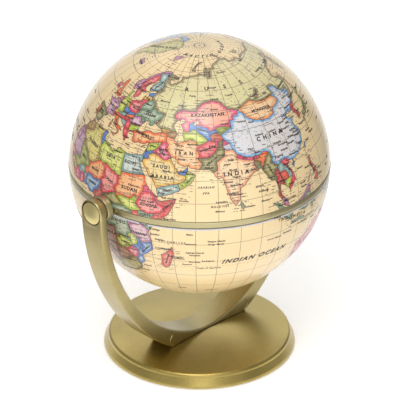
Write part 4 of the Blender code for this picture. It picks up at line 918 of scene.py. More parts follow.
def border_distances(points, region, edge_faces):
    """For each point, its distance in mm from the nearest line between two regions."""
    samples = []
    for (a, b), pair in edge_faces.items():
        if len(pair) == 2 and region[pair[0]] != region[pair[1]]:
            samples += [points[a].lerp(points[b], part / 4) for part in range(5)]
    tree = KDTree(len(samples))
    for index, sample in enumerate(samples):
        tree.insert(sample, index)
    tree.balance()
    return [tree.find(point)[2] for point in points]


def zip_rings(a, b):
    """Triangles between two rings of points that may differ in their numbers."""
    faces = []
    i = j = 0
    while i < len(a) or j < len(b):
        if j >= len(b) or (i < len(a) and (i + 1) / len(a) <= (j + 1) / len(b)):
            faces.append([a[i % len(a)], a[(i + 1) % len(a)], b[j % len(b)]])
            i += 1
        else:
            faces.append([a[i % len(a)], b[(j + 1) % len(b)], b[j % len(b)]])
            j += 1
    return faces


def wall_rings(rim):
    """Radius and height of the rings that close a shell, from its rim inwards to the pole's hole."""
    inner = BALL_RADIUS - SHELL_WALL
    first = math.asin(rim / inner)
    last = math.acos(SHELL_BOSS_RADIUS / inner)
    angles = [first + (last - first) * step / WALL_STEPS for step in range(WALL_STEPS + 1)]
    rings = [(inner * math.cos(angle), inner * math.sin(angle)) for angle in angles]
    return rings + [(SHELL_BOSS_RADIUS, SHELL_BOSS_END), (AXLE_BORE, SHELL_BOSS_END),
                    (AXLE_BORE, AXLE_END), (SCREW_BORE, AXLE_END), (SCREW_BORE, POLE_HOLE_FLOOR),
                    (POLE_HOLE_RADIUS, POLE_HOLE_FLOOR)]


def edge_loop(points, faces, half, near_pole):
    """The open edge of the map near the rim or near the pole, in order of angle."""
    edges = {}
    for face in faces:
        for a, b in zip(face, face[1:] + face[:1]):
            edge = (min(a, b), max(a, b))
            edges[edge] = edges.get(edge, 0) + 1
    loose = {point for edge, uses in edges.items() if uses == 1 for point in edge}
    middle = BALL_RADIUS / 2
    chosen = [i for i in loose if (half * points[i].z > middle) == near_pole]
    return sorted(chosen, key=lambda i: math.atan2(points[i].y, points[i].x) % (2 * math.pi))


def triangulated(half, rim, shores, inland):
    """The flat plan of one half in triangles: its points, its faces and the edges on outlines."""
    flat, fixed, rim_reach, hole_reach = plan_of_half(half, rim, shores, inland)
    flat, edges, faces, _, origins, _ = delaunay_2d_cdt(flat, fixed, [], 0, MERGE_WITHIN)
    kept = []
    for face in faces:
        middle = sum((flat[i] for i in face), Vector((0, 0))) / 3
        if hole_reach < middle.length < rim_reach - RIM_SLIVER:
            kept.append(face)
    used = sorted({i for face in kept for i in face})
    place = {old: new for new, old in enumerate(used)}
    walls = {(min(place[a], place[b]), max(place[a], place[b]))
             for (a, b), origin in zip(edges, origins) if origin and a in place and b in place}
    return [flat[i] for i in used], [[place[i] for i in face] for face in kept], walls


def close_shell(points, faces, half, rim):
    """Adds the inside of a shell: its rim, its inner wall, its boss and the hole at its pole."""
    outer = edge_loop(points, faces, half, False)
    hole = edge_loop(points, faces, half, True)
    rings = wall_rings(rim)
    radius, height = rings[0]
    previous = []
    for index in outer:
        turn = math.atan2(points[index].y, points[index].x)
        previous.append(len(points))
        points.append(Vector((radius * math.cos(turn), radius * math.sin(turn), half * height)))
    faces += zip_rings(outer, previous)
    for radius, height in rings[1:]:
        ring = list(range(len(points), len(points) + HOLE_POINTS))
        points += [Vector((p.x, p.y, half * height)) for p in ring_points(radius, HOLE_POINTS)]
        faces += zip_rings(previous, ring)
        previous = ring
    faces += zip_rings(previous, hole)


def store_paint(mesh, region, paint, land, distances):
    """Stores what the map's material reads. Faces past the map's own are the inside of the shell."""
    inside_faces = len(mesh.polygons) - len(region)
    paints = [paint[number] for number in region] + [OCEAN] * inside_faces
    for index, name in enumerate(("fill", "band")):
        colours = [channel for pair in paints for channel in linear(pair[index]) * 3]
        mesh.color_attributes.new(name, 'FLOAT_COLOR', 'CORNER').data.foreach_set("color", colours)
    ground = [float(land[number]) for number in region] + [0.0] * inside_faces
    mesh.attributes.new("land", 'FLOAT', 'FACE').data.foreach_set("value", ground)
    distances = distances + [FAR_FROM_LINES] * (len(mesh.vertices) - len(distances))
    mesh.attributes.new("edge", 'FLOAT', 'POINT').data.foreach_set("value", distances)
    mesh.polygons.foreach_set("material_index", [0] * len(region) + [1] * inside_faces)


def add_half(name, half, rim, shores, inland, materials):
    """One printed half of the ball, as a closed shell with its inner boss."""
    flat, faces, walls = triangulated(half, rim, shores, inland)
    middles = [(flat[a] + flat[b] + flat[c]) / 3 for a, b, c in faces]
    areas = [abs((flat[b] - flat[a]).cross(flat[c] - flat[a])) / 2 for a, b, c in faces]
    region, edge_faces = flood_regions(faces, walls)
    paint, region, land = paint_regions(middles, areas, region, edge_faces, half, shores)
    points = [unflatten(point, half) * BALL_RADIUS for point in flat]
    distances = border_distances(points, region, edge_faces)
    close_shell(points, faces, half, rim)
    mesh = bpy.data.meshes.new(name)
    mesh.from_pydata([(point + CENTRE) * MM for point in points], [], faces)
    add_piece(name, mesh, "globe", materials, [f"{name.split('_')[0]}_hemisphere"])
    store_paint(mesh, region, paint, land, distances)
    tidy_mesh(mesh)


# ---------------------------------------------------------------- lettering

def flat_text(text, height, spacing, slant, detail, weight):
    """A flat piece of lettering centred on its middle, in millimetres: its points and its faces."""
    curve = bpy.data.curves.new("lettering", 'FONT')
    curve.body = text
    curve.size = 1
    curve.align_x = 'CENTER'
    curve.align_y = 'BOTTOM_BASELINE'
    curve.space_character = spacing
    curve.shear = slant
    curve.offset = weight
    curve.resolution_u = detail
    curve.extrude = 0.5
    mesh = evaluated_mesh(curve)
    scale = height / CAPITAL_HEIGHT
    points = [Vector((v.co.x * scale, v.co.y * scale - height / 2, v.co.z)) for v in mesh.vertices]
    faces = [list(face.vertices) for face in mesh.polygons]
    bpy.data.meshes.remove(mesh)
    return points, faces


def wrap_text(points, longitude, latitude, heading):
    """Lays flat points on the ball, along the circle of latitude turned by the heading."""
    here = on_globe(longitude, latitude)
    east = Vector((-here.y, here.x, 0)).normalized()
    north = here.cross(east)
    turn = math.radians(heading)
    along = east * math.cos(turn) + north * math.sin(turn)
    up = here.cross(along)
    bend = math.tan(math.radians(latitude)) * math.cos(turn)
    reach = math.atan2(1, bend)
    axis = here * math.cos(reach) + up * math.sin(reach)
    start = (here - axis * math.cos(reach)) / math.sin(reach)
    wrapped = []
    for point in points:
        angle = point.x / BALL_RADIUS / math.sin(reach)
        away = reach - point.y / BALL_RADIUS
        outwards = start * math.cos(angle) + along * math.sin(angle)
        place = axis * math.cos(away) + outwards * math.sin(away)
        level = BALL_RADIUS + (LETTER_PROUD if point.z > 0 else -LETTER_SINK)
        wrapped.append(place * level)
    return wrapped


def read_names(text):
    """Names with their numbers from text: ';' parts names and '_' stands for a space."""
    for entry in text.split(";"):
        name, *numbers = entry.split()
        yield name.replace("_", " "), *[float(number) for number in numbers]


def all_lettering():
    """Every name: text, longitude, latitude, height, heading, spacing and its kind of print."""
    for name, lon, lat, height, heading, spacing in read_names(COUNTRY_NAMES):
        yield name, lon, lat, height * COUNTRY_SIZE, heading, spacing, *COUNTRY_PRINT
    for name, lon, lat, height, heading, spacing in read_names(SEA_NAMES):
        yield name, lon, lat, height, heading, spacing, *SEA_PRINT
    word, first, last, lat, height = WIDE_NAME
    for index, letter in enumerate(word):
        lon = first + (last - first) * index / (len(word) - 1)
        yield letter, lon, lat, height, 0, 1, *WIDE_PRINT
    for entry in SMALL_NAMES.split(","):
        name, lon, lat = entry.split()
        yield (name.replace("_", " "), float(lon), float(lat), TOWN_HEIGHT, 0, TOWN_SPACING,
               *TOWN_PRINT)


def add_lettering(material):
    """The names as very thin raised print, one piece for each half."""
    halves = {"north": ([], []), "south": ([], [])}
    for text, lon, lat, height, heading, spacing, slant, detail, weight in all_lettering():
        flat, new_faces = flat_text(text, height, spacing, slant, detail, weight)
        points, faces = halves["north" if lat > 0 else "south"]
        start = len(points)
        points += wrap_text(flat, lon, lat, heading)
        faces += [[start + i for i in face] for face in new_faces]
    for half, (points, faces) in halves.items():
        mesh = bpy.data.meshes.new(f"{half}_names")
        mesh.from_pydata([(point + CENTRE) * MM for point in points], [], faces)
        add_piece(f"{half}_names", mesh, "globe", [material])


# ---------------------------------------------------------------- turned and cut shapes

def turned(profile, segments, matrix=Matrix.Identity(4), offset=Vector()):
    """A closed solid of revolution about Z, from (radius, height) points down its outer side."""
    points = []
    rings = []
    for radius, height in profile:
        count = 1 if radius == 0 else segments
        rings.append(list(range(len(points), len(points) + count)))
        for i in range(count):
            turn = 2 * math.pi * i / segments
            points.append(Vector((radius * math.cos(turn), radius * math.sin(turn), height)))
    faces = []
    loops = rings if profile[0][0] == 0 else rings + rings[:1]
    for upper, lower in zip(loops, loops[1:]):
        for i in range(segments):
            j = (i + 1) % segments
            face = [upper[i % len(upper)], upper[j % len(upper)],
                    lower[j % len(lower)], lower[i % len(lower)]]
            faces.append(list(dict.fromkeys(face)))
    return mesh_from([matrix @ point for point in points], faces, offset)


def block(low, high, offset=Vector()):
    """A box with slightly rounded edges."""
    shape = bmesh.new()
    bmesh.ops.create_cube(shape, size=1)
    for vertex in shape.verts:
        spans = zip(low, high, vertex.co)
        vertex.co = Vector([(start + end) / 2 + place * (end - start) for start, end, place in spans])
    bmesh.ops.bevel(shape, geom=shape.edges[:], offset=BLOCK_EDGE, segments=2, affect='EDGES',
                    profile=0.5)
    for vertex in shape.verts:
        vertex.co = (vertex.co + offset) * MM
    mesh = bpy.data.meshes.new("block")
    shape.to_mesh(mesh)
    shape.free()
    return mesh


def merged(meshes):
    """Several closed meshes as one."""
    shape = bmesh.new()
    for mesh in meshes:
        shape.from_mesh(mesh)
    result = bpy.data.meshes.new("merged")
    shape.to_mesh(result)
    shape.free()
    tidy_mesh(result)
    return result


def cut(mesh, tools):
    """The mesh with the tools' shapes cut out of it."""
    group = bpy.data.collections.new("tools")
    holders = []
    for shape in [mesh] + tools:
        holder = bpy.data.objects.new("cut", shape)
        holders.append(holder)
        if shape is mesh:
            bpy.context.scene.collection.objects.link(holder)
        else:
            group.objects.link(holder)
    boolean = holders[0].modifiers.new("cut", 'BOOLEAN')
    boolean.operand_type = 'COLLECTION'
    boolean.collection = group
    boolean.solver = 'EXACT'
    graph = bpy.context.evaluated_depsgraph_get()
    result = bpy.data.meshes.new_from_object(holders[0].evaluated_get(graph))
    for holder in holders:
        bpy.data.objects.remove(holder)
    bpy.data.collections.remove(group)
    tidy_mesh(result)
    return result


def rounded_corner(radius_at, height_at, size, start, steps=5):
    """Points of a quarter round in a profile, about (radius_at, height_at)."""
    return [(radius_at + size * math.cos(math.radians(start - 90 * step / steps)),
             height_at + size * math.sin(math.radians(start - 90 * step / steps)))
            for step in range(steps + 1)]


def round_cutter(radius, low, high, place, segments=32):
    """A cylinder to cut a round hole with."""
    return turned([(0, high), (radius, high), (radius, low), (0, low)], segments, offset=place)


def sides():
    """The two sides: name, sign along X, and the turn that lays the Z axis outwards along X."""
    yield "left", -1, Matrix.Rotation(math.radians(-90), 4, 'Y')
    yield "right", 1, Matrix.Rotation(math.radians(90), 4, 'Y')


# ---------------------------------------------------------------- stand

def dome_height(radius):
    """Height of the base's shallow domed top at a distance from its middle."""
    return BASE_TOP - (BASE_TOP - BASE_SHOULDER) * (radius / BASE_TOP_RADIUS) ** 2


def base_profile():
    """The base's section: domed top, rounded edge, flared skirt and hollow underside."""
    dome = BASE_TOP_RADIUS - BASE_EDGE
    profile = [(dome * step / 16, dome_height(dome * step / 16)) for step in range(17)]
    lip = profile[-1][1] - BASE_EDGE
    profile += rounded_corner(dome, lip, BASE_EDGE, BASE_EDGE_START, 12)[:-1]
    profile += [(BASE_TOP_RADIUS + (BASE_FOOT_RADIUS - BASE_TOP_RADIUS) * step / 8,
                 lip + (SKIRT_END - lip) * step / 8) for step in range(1, 8)]
    profile += rounded_corner(BASE_FOOT_RADIUS - SKIRT_EDGE, BASE_UNDERSIDE + SKIRT_EDGE, SKIRT_EDGE, 0)
    return profile + [(HOLLOW_RADIUS, BASE_UNDERSIDE), (HOLLOW_RADIUS, HOLLOW_TOP), (0, HOLLOW_TOP)]


def add_base(material):
    """The round base, with the slot for the arm's foot and two screw holes from beneath."""
    length = FOOT_HALF + FOOT_GAP
    width = ARM_HALF_WIDTH + FOOT_GAP
    floor = FOOT_BOTTOM - FOOT_GAP
    tools = [block((-length, -width, floor), (length, width, BASE_TOP + PAST))]
    screw = [(0, floor + PAST), (ARM_SCREW_RADIUS, floor + PAST), (ARM_SCREW_RADIUS, SCREW_HEAD_TOP),
             (SCREW_HEAD_RADIUS, SCREW_HEAD_TOP), (SCREW_HEAD_RADIUS, HOLLOW_TOP - PAST),
             (0, HOLLOW_TOP - PAST)]
    tools += [turned(screw, 32, offset=Vector((sign * ARM_SCREW_PLACE, 0, 0))) for sign in (-1, 1)]
    mesh = cut(turned(base_profile(), 256), tools)
    add_piece("round_base", mesh, "stand", [material], ["base_disc"])


def arm_point(half_span, depth, angle):
    """A point of one of the arm's curves; the angle runs from the left end to the right."""
    power = 2 / ARM_POWER
    x = -half_span * math.copysign(abs(math.cos(angle)) ** power, math.cos(angle))
    return Vector((x, 0, CENTRE.z - depth * abs(math.sin(angle)) ** power))


def arm_section(inner, outer, steps=5):
    """Points round one section of the strip, from the middle of its outer face and back to it."""
    edge = ARM_EDGE
    length = (outer - inner).length
    unit = (outer - inner) / length
    side = ARM_HALF_WIDTH - edge
    marks = [(length, 0)]
    for along, start in ((length - edge, 0), (edge, 90)):
        for step in range(steps + 1):
            angle = math.radians(start + 90 * step / steps)
            marks.append((along + edge * math.cos(angle), side + edge * math.sin(angle)))
    marks.append((0, 0))
    marks += [(along, -across) for along, across in marks[len(marks) - 2:0:-1]]
    return [inner + unit * along + Vector((0, across, 0)) for along, across in marks]


def foot_entry():
    """Height at which the arm's outer curve reaches its foot."""
    return CENTRE.z - ARM_OUTER_DEPTH * (1 - (FOOT_HALF / ARM_OUTER) ** ARM_POWER) ** (1 / ARM_POWER)


def arm_sections():
    """Sections along the arm, from the middle of its left eye to the middle of its right one."""
    sections = []
    for row in range(ARM_ROWS + 1):
        angle = math.pi * row / ARM_ROWS
        inner = arm_point(ARM_INNER, ARM_INNER_DEPTH, angle)
        outer = arm_point(ARM_OUTER, ARM_OUTER_DEPTH, angle)
        if outer.z < foot_entry():
            outer.z = FOOT_BOTTOM
        sections.append(arm_section(inner, outer))
    return sections


def add_eye(points, faces, strip):
    """Rounds off one end of the arm with half sections swung about the pivot."""
    half = len(strip) // 2
    first = strip[1:half]
    fan = [first]
    for step in range(1, EYE_STEPS):
        angle = math.pi * step / EYE_STEPS
        fan.append(list(range(len(points), len(points) + len(first))))
        for index in first:
            x, radius, _ = points[index]
            points.append(Vector((x, radius * math.cos(angle), CENTRE.z + radius * math.sin(angle))))
    fan.append(strip[:half:-1])
    for a, b in zip(fan, fan[1:]):
        faces += [[a[i], a[i + 1], b[i + 1], b[i]] for i in range(len(a) - 1)]
        faces += [[strip[0], a[0], b[0]], [strip[half], a[-1], b[-1]]]


def arm_mesh():
    """The U strip as rows of sections, with a fan of half sections round each eye."""
    sections = arm_sections()
    points = [point for section in sections for point in section]
    count = len(sections[0])
    strips = [list(range(row * count, (row + 1) * count)) for row in range(len(sections))]
    faces = [[a[i], a[(i + 1) % count], b[(i + 1) % count], b[i]]
             for a, b in zip(strips, strips[1:]) for i in range(count)]
    for strip in (strips[0], strips[-1]):
        add_eye(points, faces, strip)
    return mesh_from(points, faces)


def add_arm(material):
    """The arm, with a recess and a bore through each eye and blind screw holes in its foot."""
    recess = [(0, ARM_OUTER + PAST), (CAP_RECESS_RADIUS, ARM_OUTER + PAST),
              (CAP_RECESS_RADIUS, CAP_RECESS_FLOOR), (PIVOT_BORE, CAP_RECESS_FLOOR),
              (PIVOT_BORE, ARM_INNER - PAST), (0, ARM_INNER - PAST)]
    tools = [turned(recess, 96, turn, CENTRE) for _, _, turn in sides()]
    for sign in (-1, 1):
        place = Vector((sign * ARM_SCREW_PLACE, 0, 0))
        tools.append(round_cutter(ARM_SCREW_RADIUS, FOOT_BOTTOM - PAST, ARM_SCREW_END, place))
    mesh = cut(arm_mesh(), tools)
    add_piece("curved_arm", mesh, "stand", [material], ["support_arm"])


def bead_tube(sign, face):
    """One bead, bowed outwards as it climbs the arm's edge on one side and one face."""
    curve = bpy.data.curves.new("bead", 'CURVE')
    curve.dimensions = '3D'
    curve.bevel_depth = BEAD_RADIUS * MM
    curve.bevel_resolution = 3
    curve.use_fill_caps = True
    spline = curve.splines.new('POLY')
    spline.points.add(BEAD_STEPS)
    for step, point in enumerate(spline.points):
        part = step / BEAD_STEPS
        x = sign * (BEAD_PLACE + BEAD_BOW * math.sin(math.pi * part) + BEAD_LEAN * part)
        z = BEAD_BOTTOM + BEAD_RISE * part
        point.co = (x * MM, face * ARM_HALF_WIDTH * MM, z * MM, 1)
    return evaluated_mesh(curve)


def add_arm_beads(material):
    """A fine curved bead across each edge of the arm, where the strip was joined to its foot."""
    for side, sign, _ in sides():
        tubes = [bead_tube(sign, face) for face in (-1, 1)]
        add_piece(f"arm_bead_{side}", merged(tubes), "stand", [material])


def add_pivot_caps(material):
    """The slightly domed round caps over the two pivots."""
    shares = [CAP_DOME_SHARE * step / 12 for step in range(13)]
    profile = [(CAP_RADIUS * share, CAP_FACE + CAP_CROWN - CAP_RISE * share ** 2) for share in shares]
    profile += rounded_corner(CAP_RADIUS - CAP_EDGE, profile[-1][1] - CAP_EDGE, CAP_EDGE, 80, 4)
    profile += [(CAP_RADIUS, CAP_BACK), (0, CAP_BACK)]
    for side, _, turn in sides():
        mesh = turned(profile, 96, turn, CENTRE + CAP_SHIFT)
        add_piece(f"round_cap_{side}", mesh, "stand", [material], [f"pivot_cap_{side}"])


def band_profile():
    """The band's section: a slightly crowned outer face between soft edges, and a flat inside."""
    soft = RING_RADIUS - RING_CROWN - RING_SOFT
    face = [(RING_RADIUS - RING_CROWN * part ** 2, RING_HALF_HEIGHT * part)
            for part in (0.9, 0.6, 0.3, 0, -0.3, -0.6, -0.9)]
    return [(soft, RING_HALF_HEIGHT)] + face + [
        (soft, -RING_HALF_HEIGHT), (RING_INNER, -RING_HALF_HEIGHT), (RING_INNER, RING_HALF_HEIGHT)]


def add_ring(material):
    """The band at the equator with its two bosses, and two lugs inside it for the bridge."""
    shapes = [turned(band_profile(), 360, offset=CENTRE)]
    boss = rounded_corner(BOSS_RADIUS - BOSS_EDGE, BOSS_FACE - BOSS_EDGE, BOSS_EDGE, 90, 4)
    boss += [(BOSS_RADIUS, BOSS_BACK), (BOSS_BORE, BOSS_BACK), (BOSS_BORE, BOSS_FACE)]
    for _, sign, turn in sides():
        shapes.append(turned(boss, 64, turn, CENTRE))
        near, far = sorted(sign * place for place in BOSS_WEB)
        shapes.append(block((near, -BOSS_WEB_WIDTH, -BOSS_WEB_HEIGHT),
                            (far, BOSS_WEB_WIDTH, BOSS_WEB_HEIGHT), CENTRE))
    for sign in (-1, 1):
        near, far = sorted(sign * place for place in LUG_SPAN)
        lug = block((-LUG_WIDTH, near, -RING_HALF_HEIGHT), (LUG_WIDTH, far, 0), CENTRE)
        place = CENTRE + Vector((0, sign * LUG_SCREW_PLACE, 0))
        shapes.append(cut(lug, [round_cutter(LUG_BORE, -PAST, PAST, place, 24)]))
    add_piece("equator_band", merged(shapes), "ring", [material], ["equator_ring"])


def add_pole_caps(material):
    """The small caps that close the holes at the poles, flush with the ball."""
    radius = POLE_HOLE_RADIUS - POLE_CAP_GAP
    crown = [radius * POLE_CAP_DOME * step / 6 for step in range(7)]
    profile = [(away, math.sqrt(BALL_RADIUS ** 2 - away ** 2)) for away in crown]
    profile += [(radius, profile[-1][1] - POLE_CAP_EDGE), (radius, POLE_CAP_BACK), (0, POLE_CAP_BACK)]
    for half, name in ((1, "north"), (-1, "south")):
        mesh = turned(profile, 64, Matrix.Diagonal((1, half, half, 1)), CENTRE)
        add_piece(f"round_pole_{name}", mesh, "globe", [material], [f"pole_cap_{name}"])


# ---------------------------------------------------------------- materials

class Paint:
    """A material under construction, with short ways to add and join nodes."""

    def __init__(self, name):
        self.material = bpy.data.materials.new(name)
        self.material.use_nodes = True
        self.tree = self.material.node_tree
        self.shader = self.tree.nodes["Principled BSDF"]
        self.place = self.tree.nodes.new('ShaderNodeTexCoord').outputs["Object"]

    def feed(self, socket, value):
        """Joins a node's output to an input, or sets the input to a constant."""
        if isinstance(value, bpy.types.NodeSocket):
            self.tree.links.new(value, socket)
        else:
            socket.default_value = value

    def set(self, **values):
        """Values of the shader's own sockets; an underscore stands for a space."""
        for name, value in values.items():
            self.feed(self.shader.inputs[name.replace("_", " ")], value)

    def math(self, operation, a, b=0.0):
        """A sum of one or two numbers, named by its operation."""
        node = self.tree.nodes.new('ShaderNodeMath')
        node.operation = operation
        self.feed(node.inputs[0], a)
        self.feed(node.inputs[1], b)
        return node.outputs[0]

    def times(self, a, b):
        """The product of two numbers."""
        return self.math('MULTIPLY', a, b)

    def fade(self, value, low, high, to_low=0.0, to_high=1.0):
        """The value's way from low to high, eased, as a number between two others."""
        node = self.tree.nodes.new('ShaderNodeMapRange')
        node.interpolation_type = 'SMOOTHSTEP'
        for name, number in (("Value", value), ("From Min", low), ("From Max", high),
                             ("To Min", to_low), ("To Max", to_high)):
            self.feed(node.inputs[name], number)
        return node.outputs[0]

    def noise(self, scale, detail=3.0, stretch=(1, 1, 1)):
        """Smooth noise about 0.5, which can be stretched along an axis."""
        mapping = self.tree.nodes.new('ShaderNodeMapping')
        mapping.inputs["Scale"].default_value = stretch
        self.feed(mapping.inputs["Vector"], self.place)
        node = self.tree.nodes.new('ShaderNodeTexNoise')
        self.feed(node.inputs["Vector"], mapping.outputs[0])
        node.inputs["Scale"].default_value = scale
        node.inputs["Detail"].default_value = detail
        return node.outputs["Fac"]

    def cells(self, scale):
        """Distance from the middle of the nearest of many scattered cells."""
        node = self.tree.nodes.new('ShaderNodeTexVoronoi')
        self.feed(node.inputs["Vector"], self.place)
        node.inputs["Scale"].default_value = scale
        return node.outputs["Distance"]

    def mix(self, factor, a, b, blend='MIX'):
        """Two colours mixed: a where the factor is 0 and b where it is 1."""
        node = self.tree.nodes.new('ShaderNodeMix')
        node.data_type = 'RGBA'
        node.blend_type = blend
        self.feed(node.inputs[0], factor)
        self.feed(node.inputs[6], a)
        self.feed(node.inputs[7], b)
        return node.outputs[2]

    def over(self, colour, amount, rgb, blend='MIX'):
        """A colour with some of an 8-bit screen colour laid over it."""
        return self.mix(amount, colour, linear(rgb), blend)

    def attribute(self, name, output):
        """A value that is stored on the mesh."""
        node = self.tree.nodes.new('ShaderNodeAttribute')
        node.attribute_name = name
        return node.outputs[output]

    def split(self, vector):
        """The three parts of a vector."""
        node = self.tree.nodes.new('ShaderNodeSeparateXYZ')
        self.feed(node.inputs[0], vector)
        return node.outputs[0], node.outputs[1], node.outputs[2]

    def edges(self):
        """Above 0.5 on outward edges and below it in hollows."""
        return self.tree.nodes.new('ShaderNodeNewGeometry').outputs["Pointiness"]

    def bump(self, height, strength, distance):
        """Relief from a height, with its distance in metres."""
        node = self.tree.nodes.new('ShaderNodeBump')
        node.inputs["Strength"].default_value = strength
        node.inputs["Distance"].default_value = distance
        self.feed(node.inputs["Height"], height)
        self.set(Normal=node.outputs[0])


def satin_gold(name, dark, light, streaks, coat=0.5):
    """Champagne gold metal paint: fine flake, cloudy tone, paler worn edges."""
    paint = Paint(name)
    cloud = paint.fade(paint.noise(45, 4), 0.35, 0.65)
    flake = paint.fade(paint.noise(5200, 2), 0.35, 0.68)
    colour = paint.mix(cloud, linear(dark), linear(light))
    colour = paint.over(colour, paint.times(flake, 0.30), GOLD_FLAKE)
    worn = paint.fade(paint.edges(), 0.515, 0.56)
    worn = paint.times(worn, paint.fade(paint.noise(160, 3), 0.3, 0.7))
    colour = paint.over(colour, paint.times(worn, 0.45), GOLD_WORN)
    brushed = paint.noise(1, 3, streaks)
    paint.set(Base_Color=colour, Metallic=1.0, Coat_Weight=coat, Coat_Roughness=0.3,
              Roughness=paint.math('ADD', paint.times(brushed, 0.14), GOLD_ROUGHNESS))
    relief = paint.math('ADD', paint.times(flake, 0.5), brushed)
    paint.bump(relief, 0.09, 0.00006)
    return paint.material


def plain_surface(name, colour_a, colour_b, scale, roughness, metallic, bump_scale, bump_depth):
    """A plain moulded or plated surface whose tone, gloss and relief vary a little."""
    paint = Paint(name)
    cloud = paint.fade(paint.noise(scale, 4), 0.3, 0.7)
    worn = paint.fade(paint.edges(), 0.515, 0.57)
    colour = paint.mix(cloud, linear(colour_a), linear(colour_b))
    paler = [min(255, channel * 1.15 + 12) for channel in colour_b]
    colour = paint.over(colour, paint.times(worn, 0.5), paler)
    gloss = paint.fade(paint.noise(scale * 3, 3), 0.2, 0.8, roughness - 0.07, roughness + 0.07)
    paint.set(Base_Color=colour, Metallic=metallic, Roughness=gloss)
    paint.bump(paint.noise(bump_scale, 4), 0.25, bump_depth)
    return paint.material


def fine_print(paint, east, north):
    """Rows of tiny dashes along the parallels, from places in millimetres: 1 where there is ink."""
    row = paint.math('FLOOR', paint.math('DIVIDE', north, PRINT_PITCH))
    beside = paint.math('PINGPONG', paint.math('SUBTRACT', north, PRINT_PITCH / 2), PRINT_PITCH / 2)
    marks = paint.fade(beside, 0.17, 0.23, 1.0, 0.0)
    for per_mm, row_step, low, high in (PRINT_WORDS, PRINT_LETTERS):
        join = paint.tree.nodes.new('ShaderNodeCombineXYZ')
        paint.feed(join.inputs[0], paint.times(east, per_mm))
        paint.feed(join.inputs[1], paint.times(row, row_step))
        node = paint.tree.nodes.new('ShaderNodeTexNoise')
        paint.feed(node.inputs["Vector"], join.outputs[0])
        node.inputs["Scale"].default_value = 1
        node.inputs["Detail"].default_value = 0
        marks = paint.times(marks, paint.fade(node.outputs["Fac"], low, high))
    return marks


def painted_ground(paint, distance, land, cloud, grain):
    """Country tints with a stronger band inside each border, rivers, towns and aged paper."""
    ragged = paint.math('ADD', distance, paint.times(paint.math('SUBTRACT', grain, 0.5), 0.35))
    band = paint.times(paint.fade(ragged, *BAND_FADE, 1.0, 0.0), paint.fade(land, 0, 1, *BAND_STRENGTH))
    pale = paint.times(paint.fade(cloud, 0.3, 0.7, 0.0, 0.26), land)
    colour = paint.over(paint.attribute("fill", "Color"), pale, PAPER_PALE)
    colour = paint.mix(band, colour, paint.attribute("band", "Color"))
    river = paint.math('ABSOLUTE', paint.math('SUBTRACT', paint.noise(130, 4), 0.5))
    river = paint.times(paint.fade(river, 0.002, 0.008, 0.6, 0.0), land)
    colour = paint.over(colour, river, RIVER_INK)
    town = paint.times(paint.fade(paint.cells(620), 0.13, 0.17, 0.75, 0.0), land)
    colour = paint.over(colour, town, TOWN_INK)
    colour = paint.over(colour, paint.fade(cloud, 0.3, 0.7, 0.0, 0.14), PAPER_AGED, 'MULTIPLY')
    colour = paint.over(colour, paint.fade(grain, 0.35, 0.65, 0.0, 0.10), PAPER_GRAIN)
    specks = paint.fade(paint.noise(420, 2), 0.70, 0.78)
    return paint.over(colour, paint.times(specks, 0.35), PAPER_SPECK)


def printed_place(paint):
    """The shaded place on the map: height over the radius, latitude, longitude and the parallel's
    share of the equator."""
    local = paint.tree.nodes.new('ShaderNodeVectorMath')
    local.operation = 'SUBTRACT'
    local.inputs[1].default_value = CENTRE * MM
    paint.feed(local.inputs[0], paint.place)
    x, y, z = paint.split(local.outputs[0])
    height = paint.math('DIVIDE', z, BALL_RADIUS * MM)
    latitude = paint.times(paint.math('ARCSINE', height), DEGREE)
    longitude = paint.math('SUBTRACT', paint.times(paint.math('ARCTAN2', y, x), DEGREE), MAP_TURN)
    narrowing = paint.math('SQRT', paint.math('SUBTRACT', 1.0, paint.times(height, height)))
    return height, latitude, longitude, narrowing


def map_grid(paint, latitude, longitude, narrowing):
    """Ink of the ten-degree grid and of the dashed tropics and polar circles."""
    parallels = paint.times(paint.math('PINGPONG', latitude, 5.0), MM_PER_DEGREE)
    meridians = paint.times(paint.math('PINGPONG', longitude, 5.0), MM_PER_DEGREE)
    meridians = paint.times(meridians, narrowing)
    grid = paint.fade(paint.math('MINIMUM', parallels, meridians), 0.06, 0.15, 0.8, 0.0)
    from_tropics, from_polar_circles = [
        paint.math('ABSOLUTE', paint.math('SUBTRACT', paint.math('ABSOLUTE', latitude), circle))
        for circle in (TROPIC, POLAR_CIRCLE)]
    circles = paint.math('MINIMUM', from_tropics, from_polar_circles)
    dashes = paint.fade(paint.math('PINGPONG', longitude, 1.0), 0.35, 0.45)
    circles = paint.times(paint.fade(circles, 0.06, 0.16, 0.6, 0.0), dashes)
    return paint.math('MAXIMUM', grid, circles)


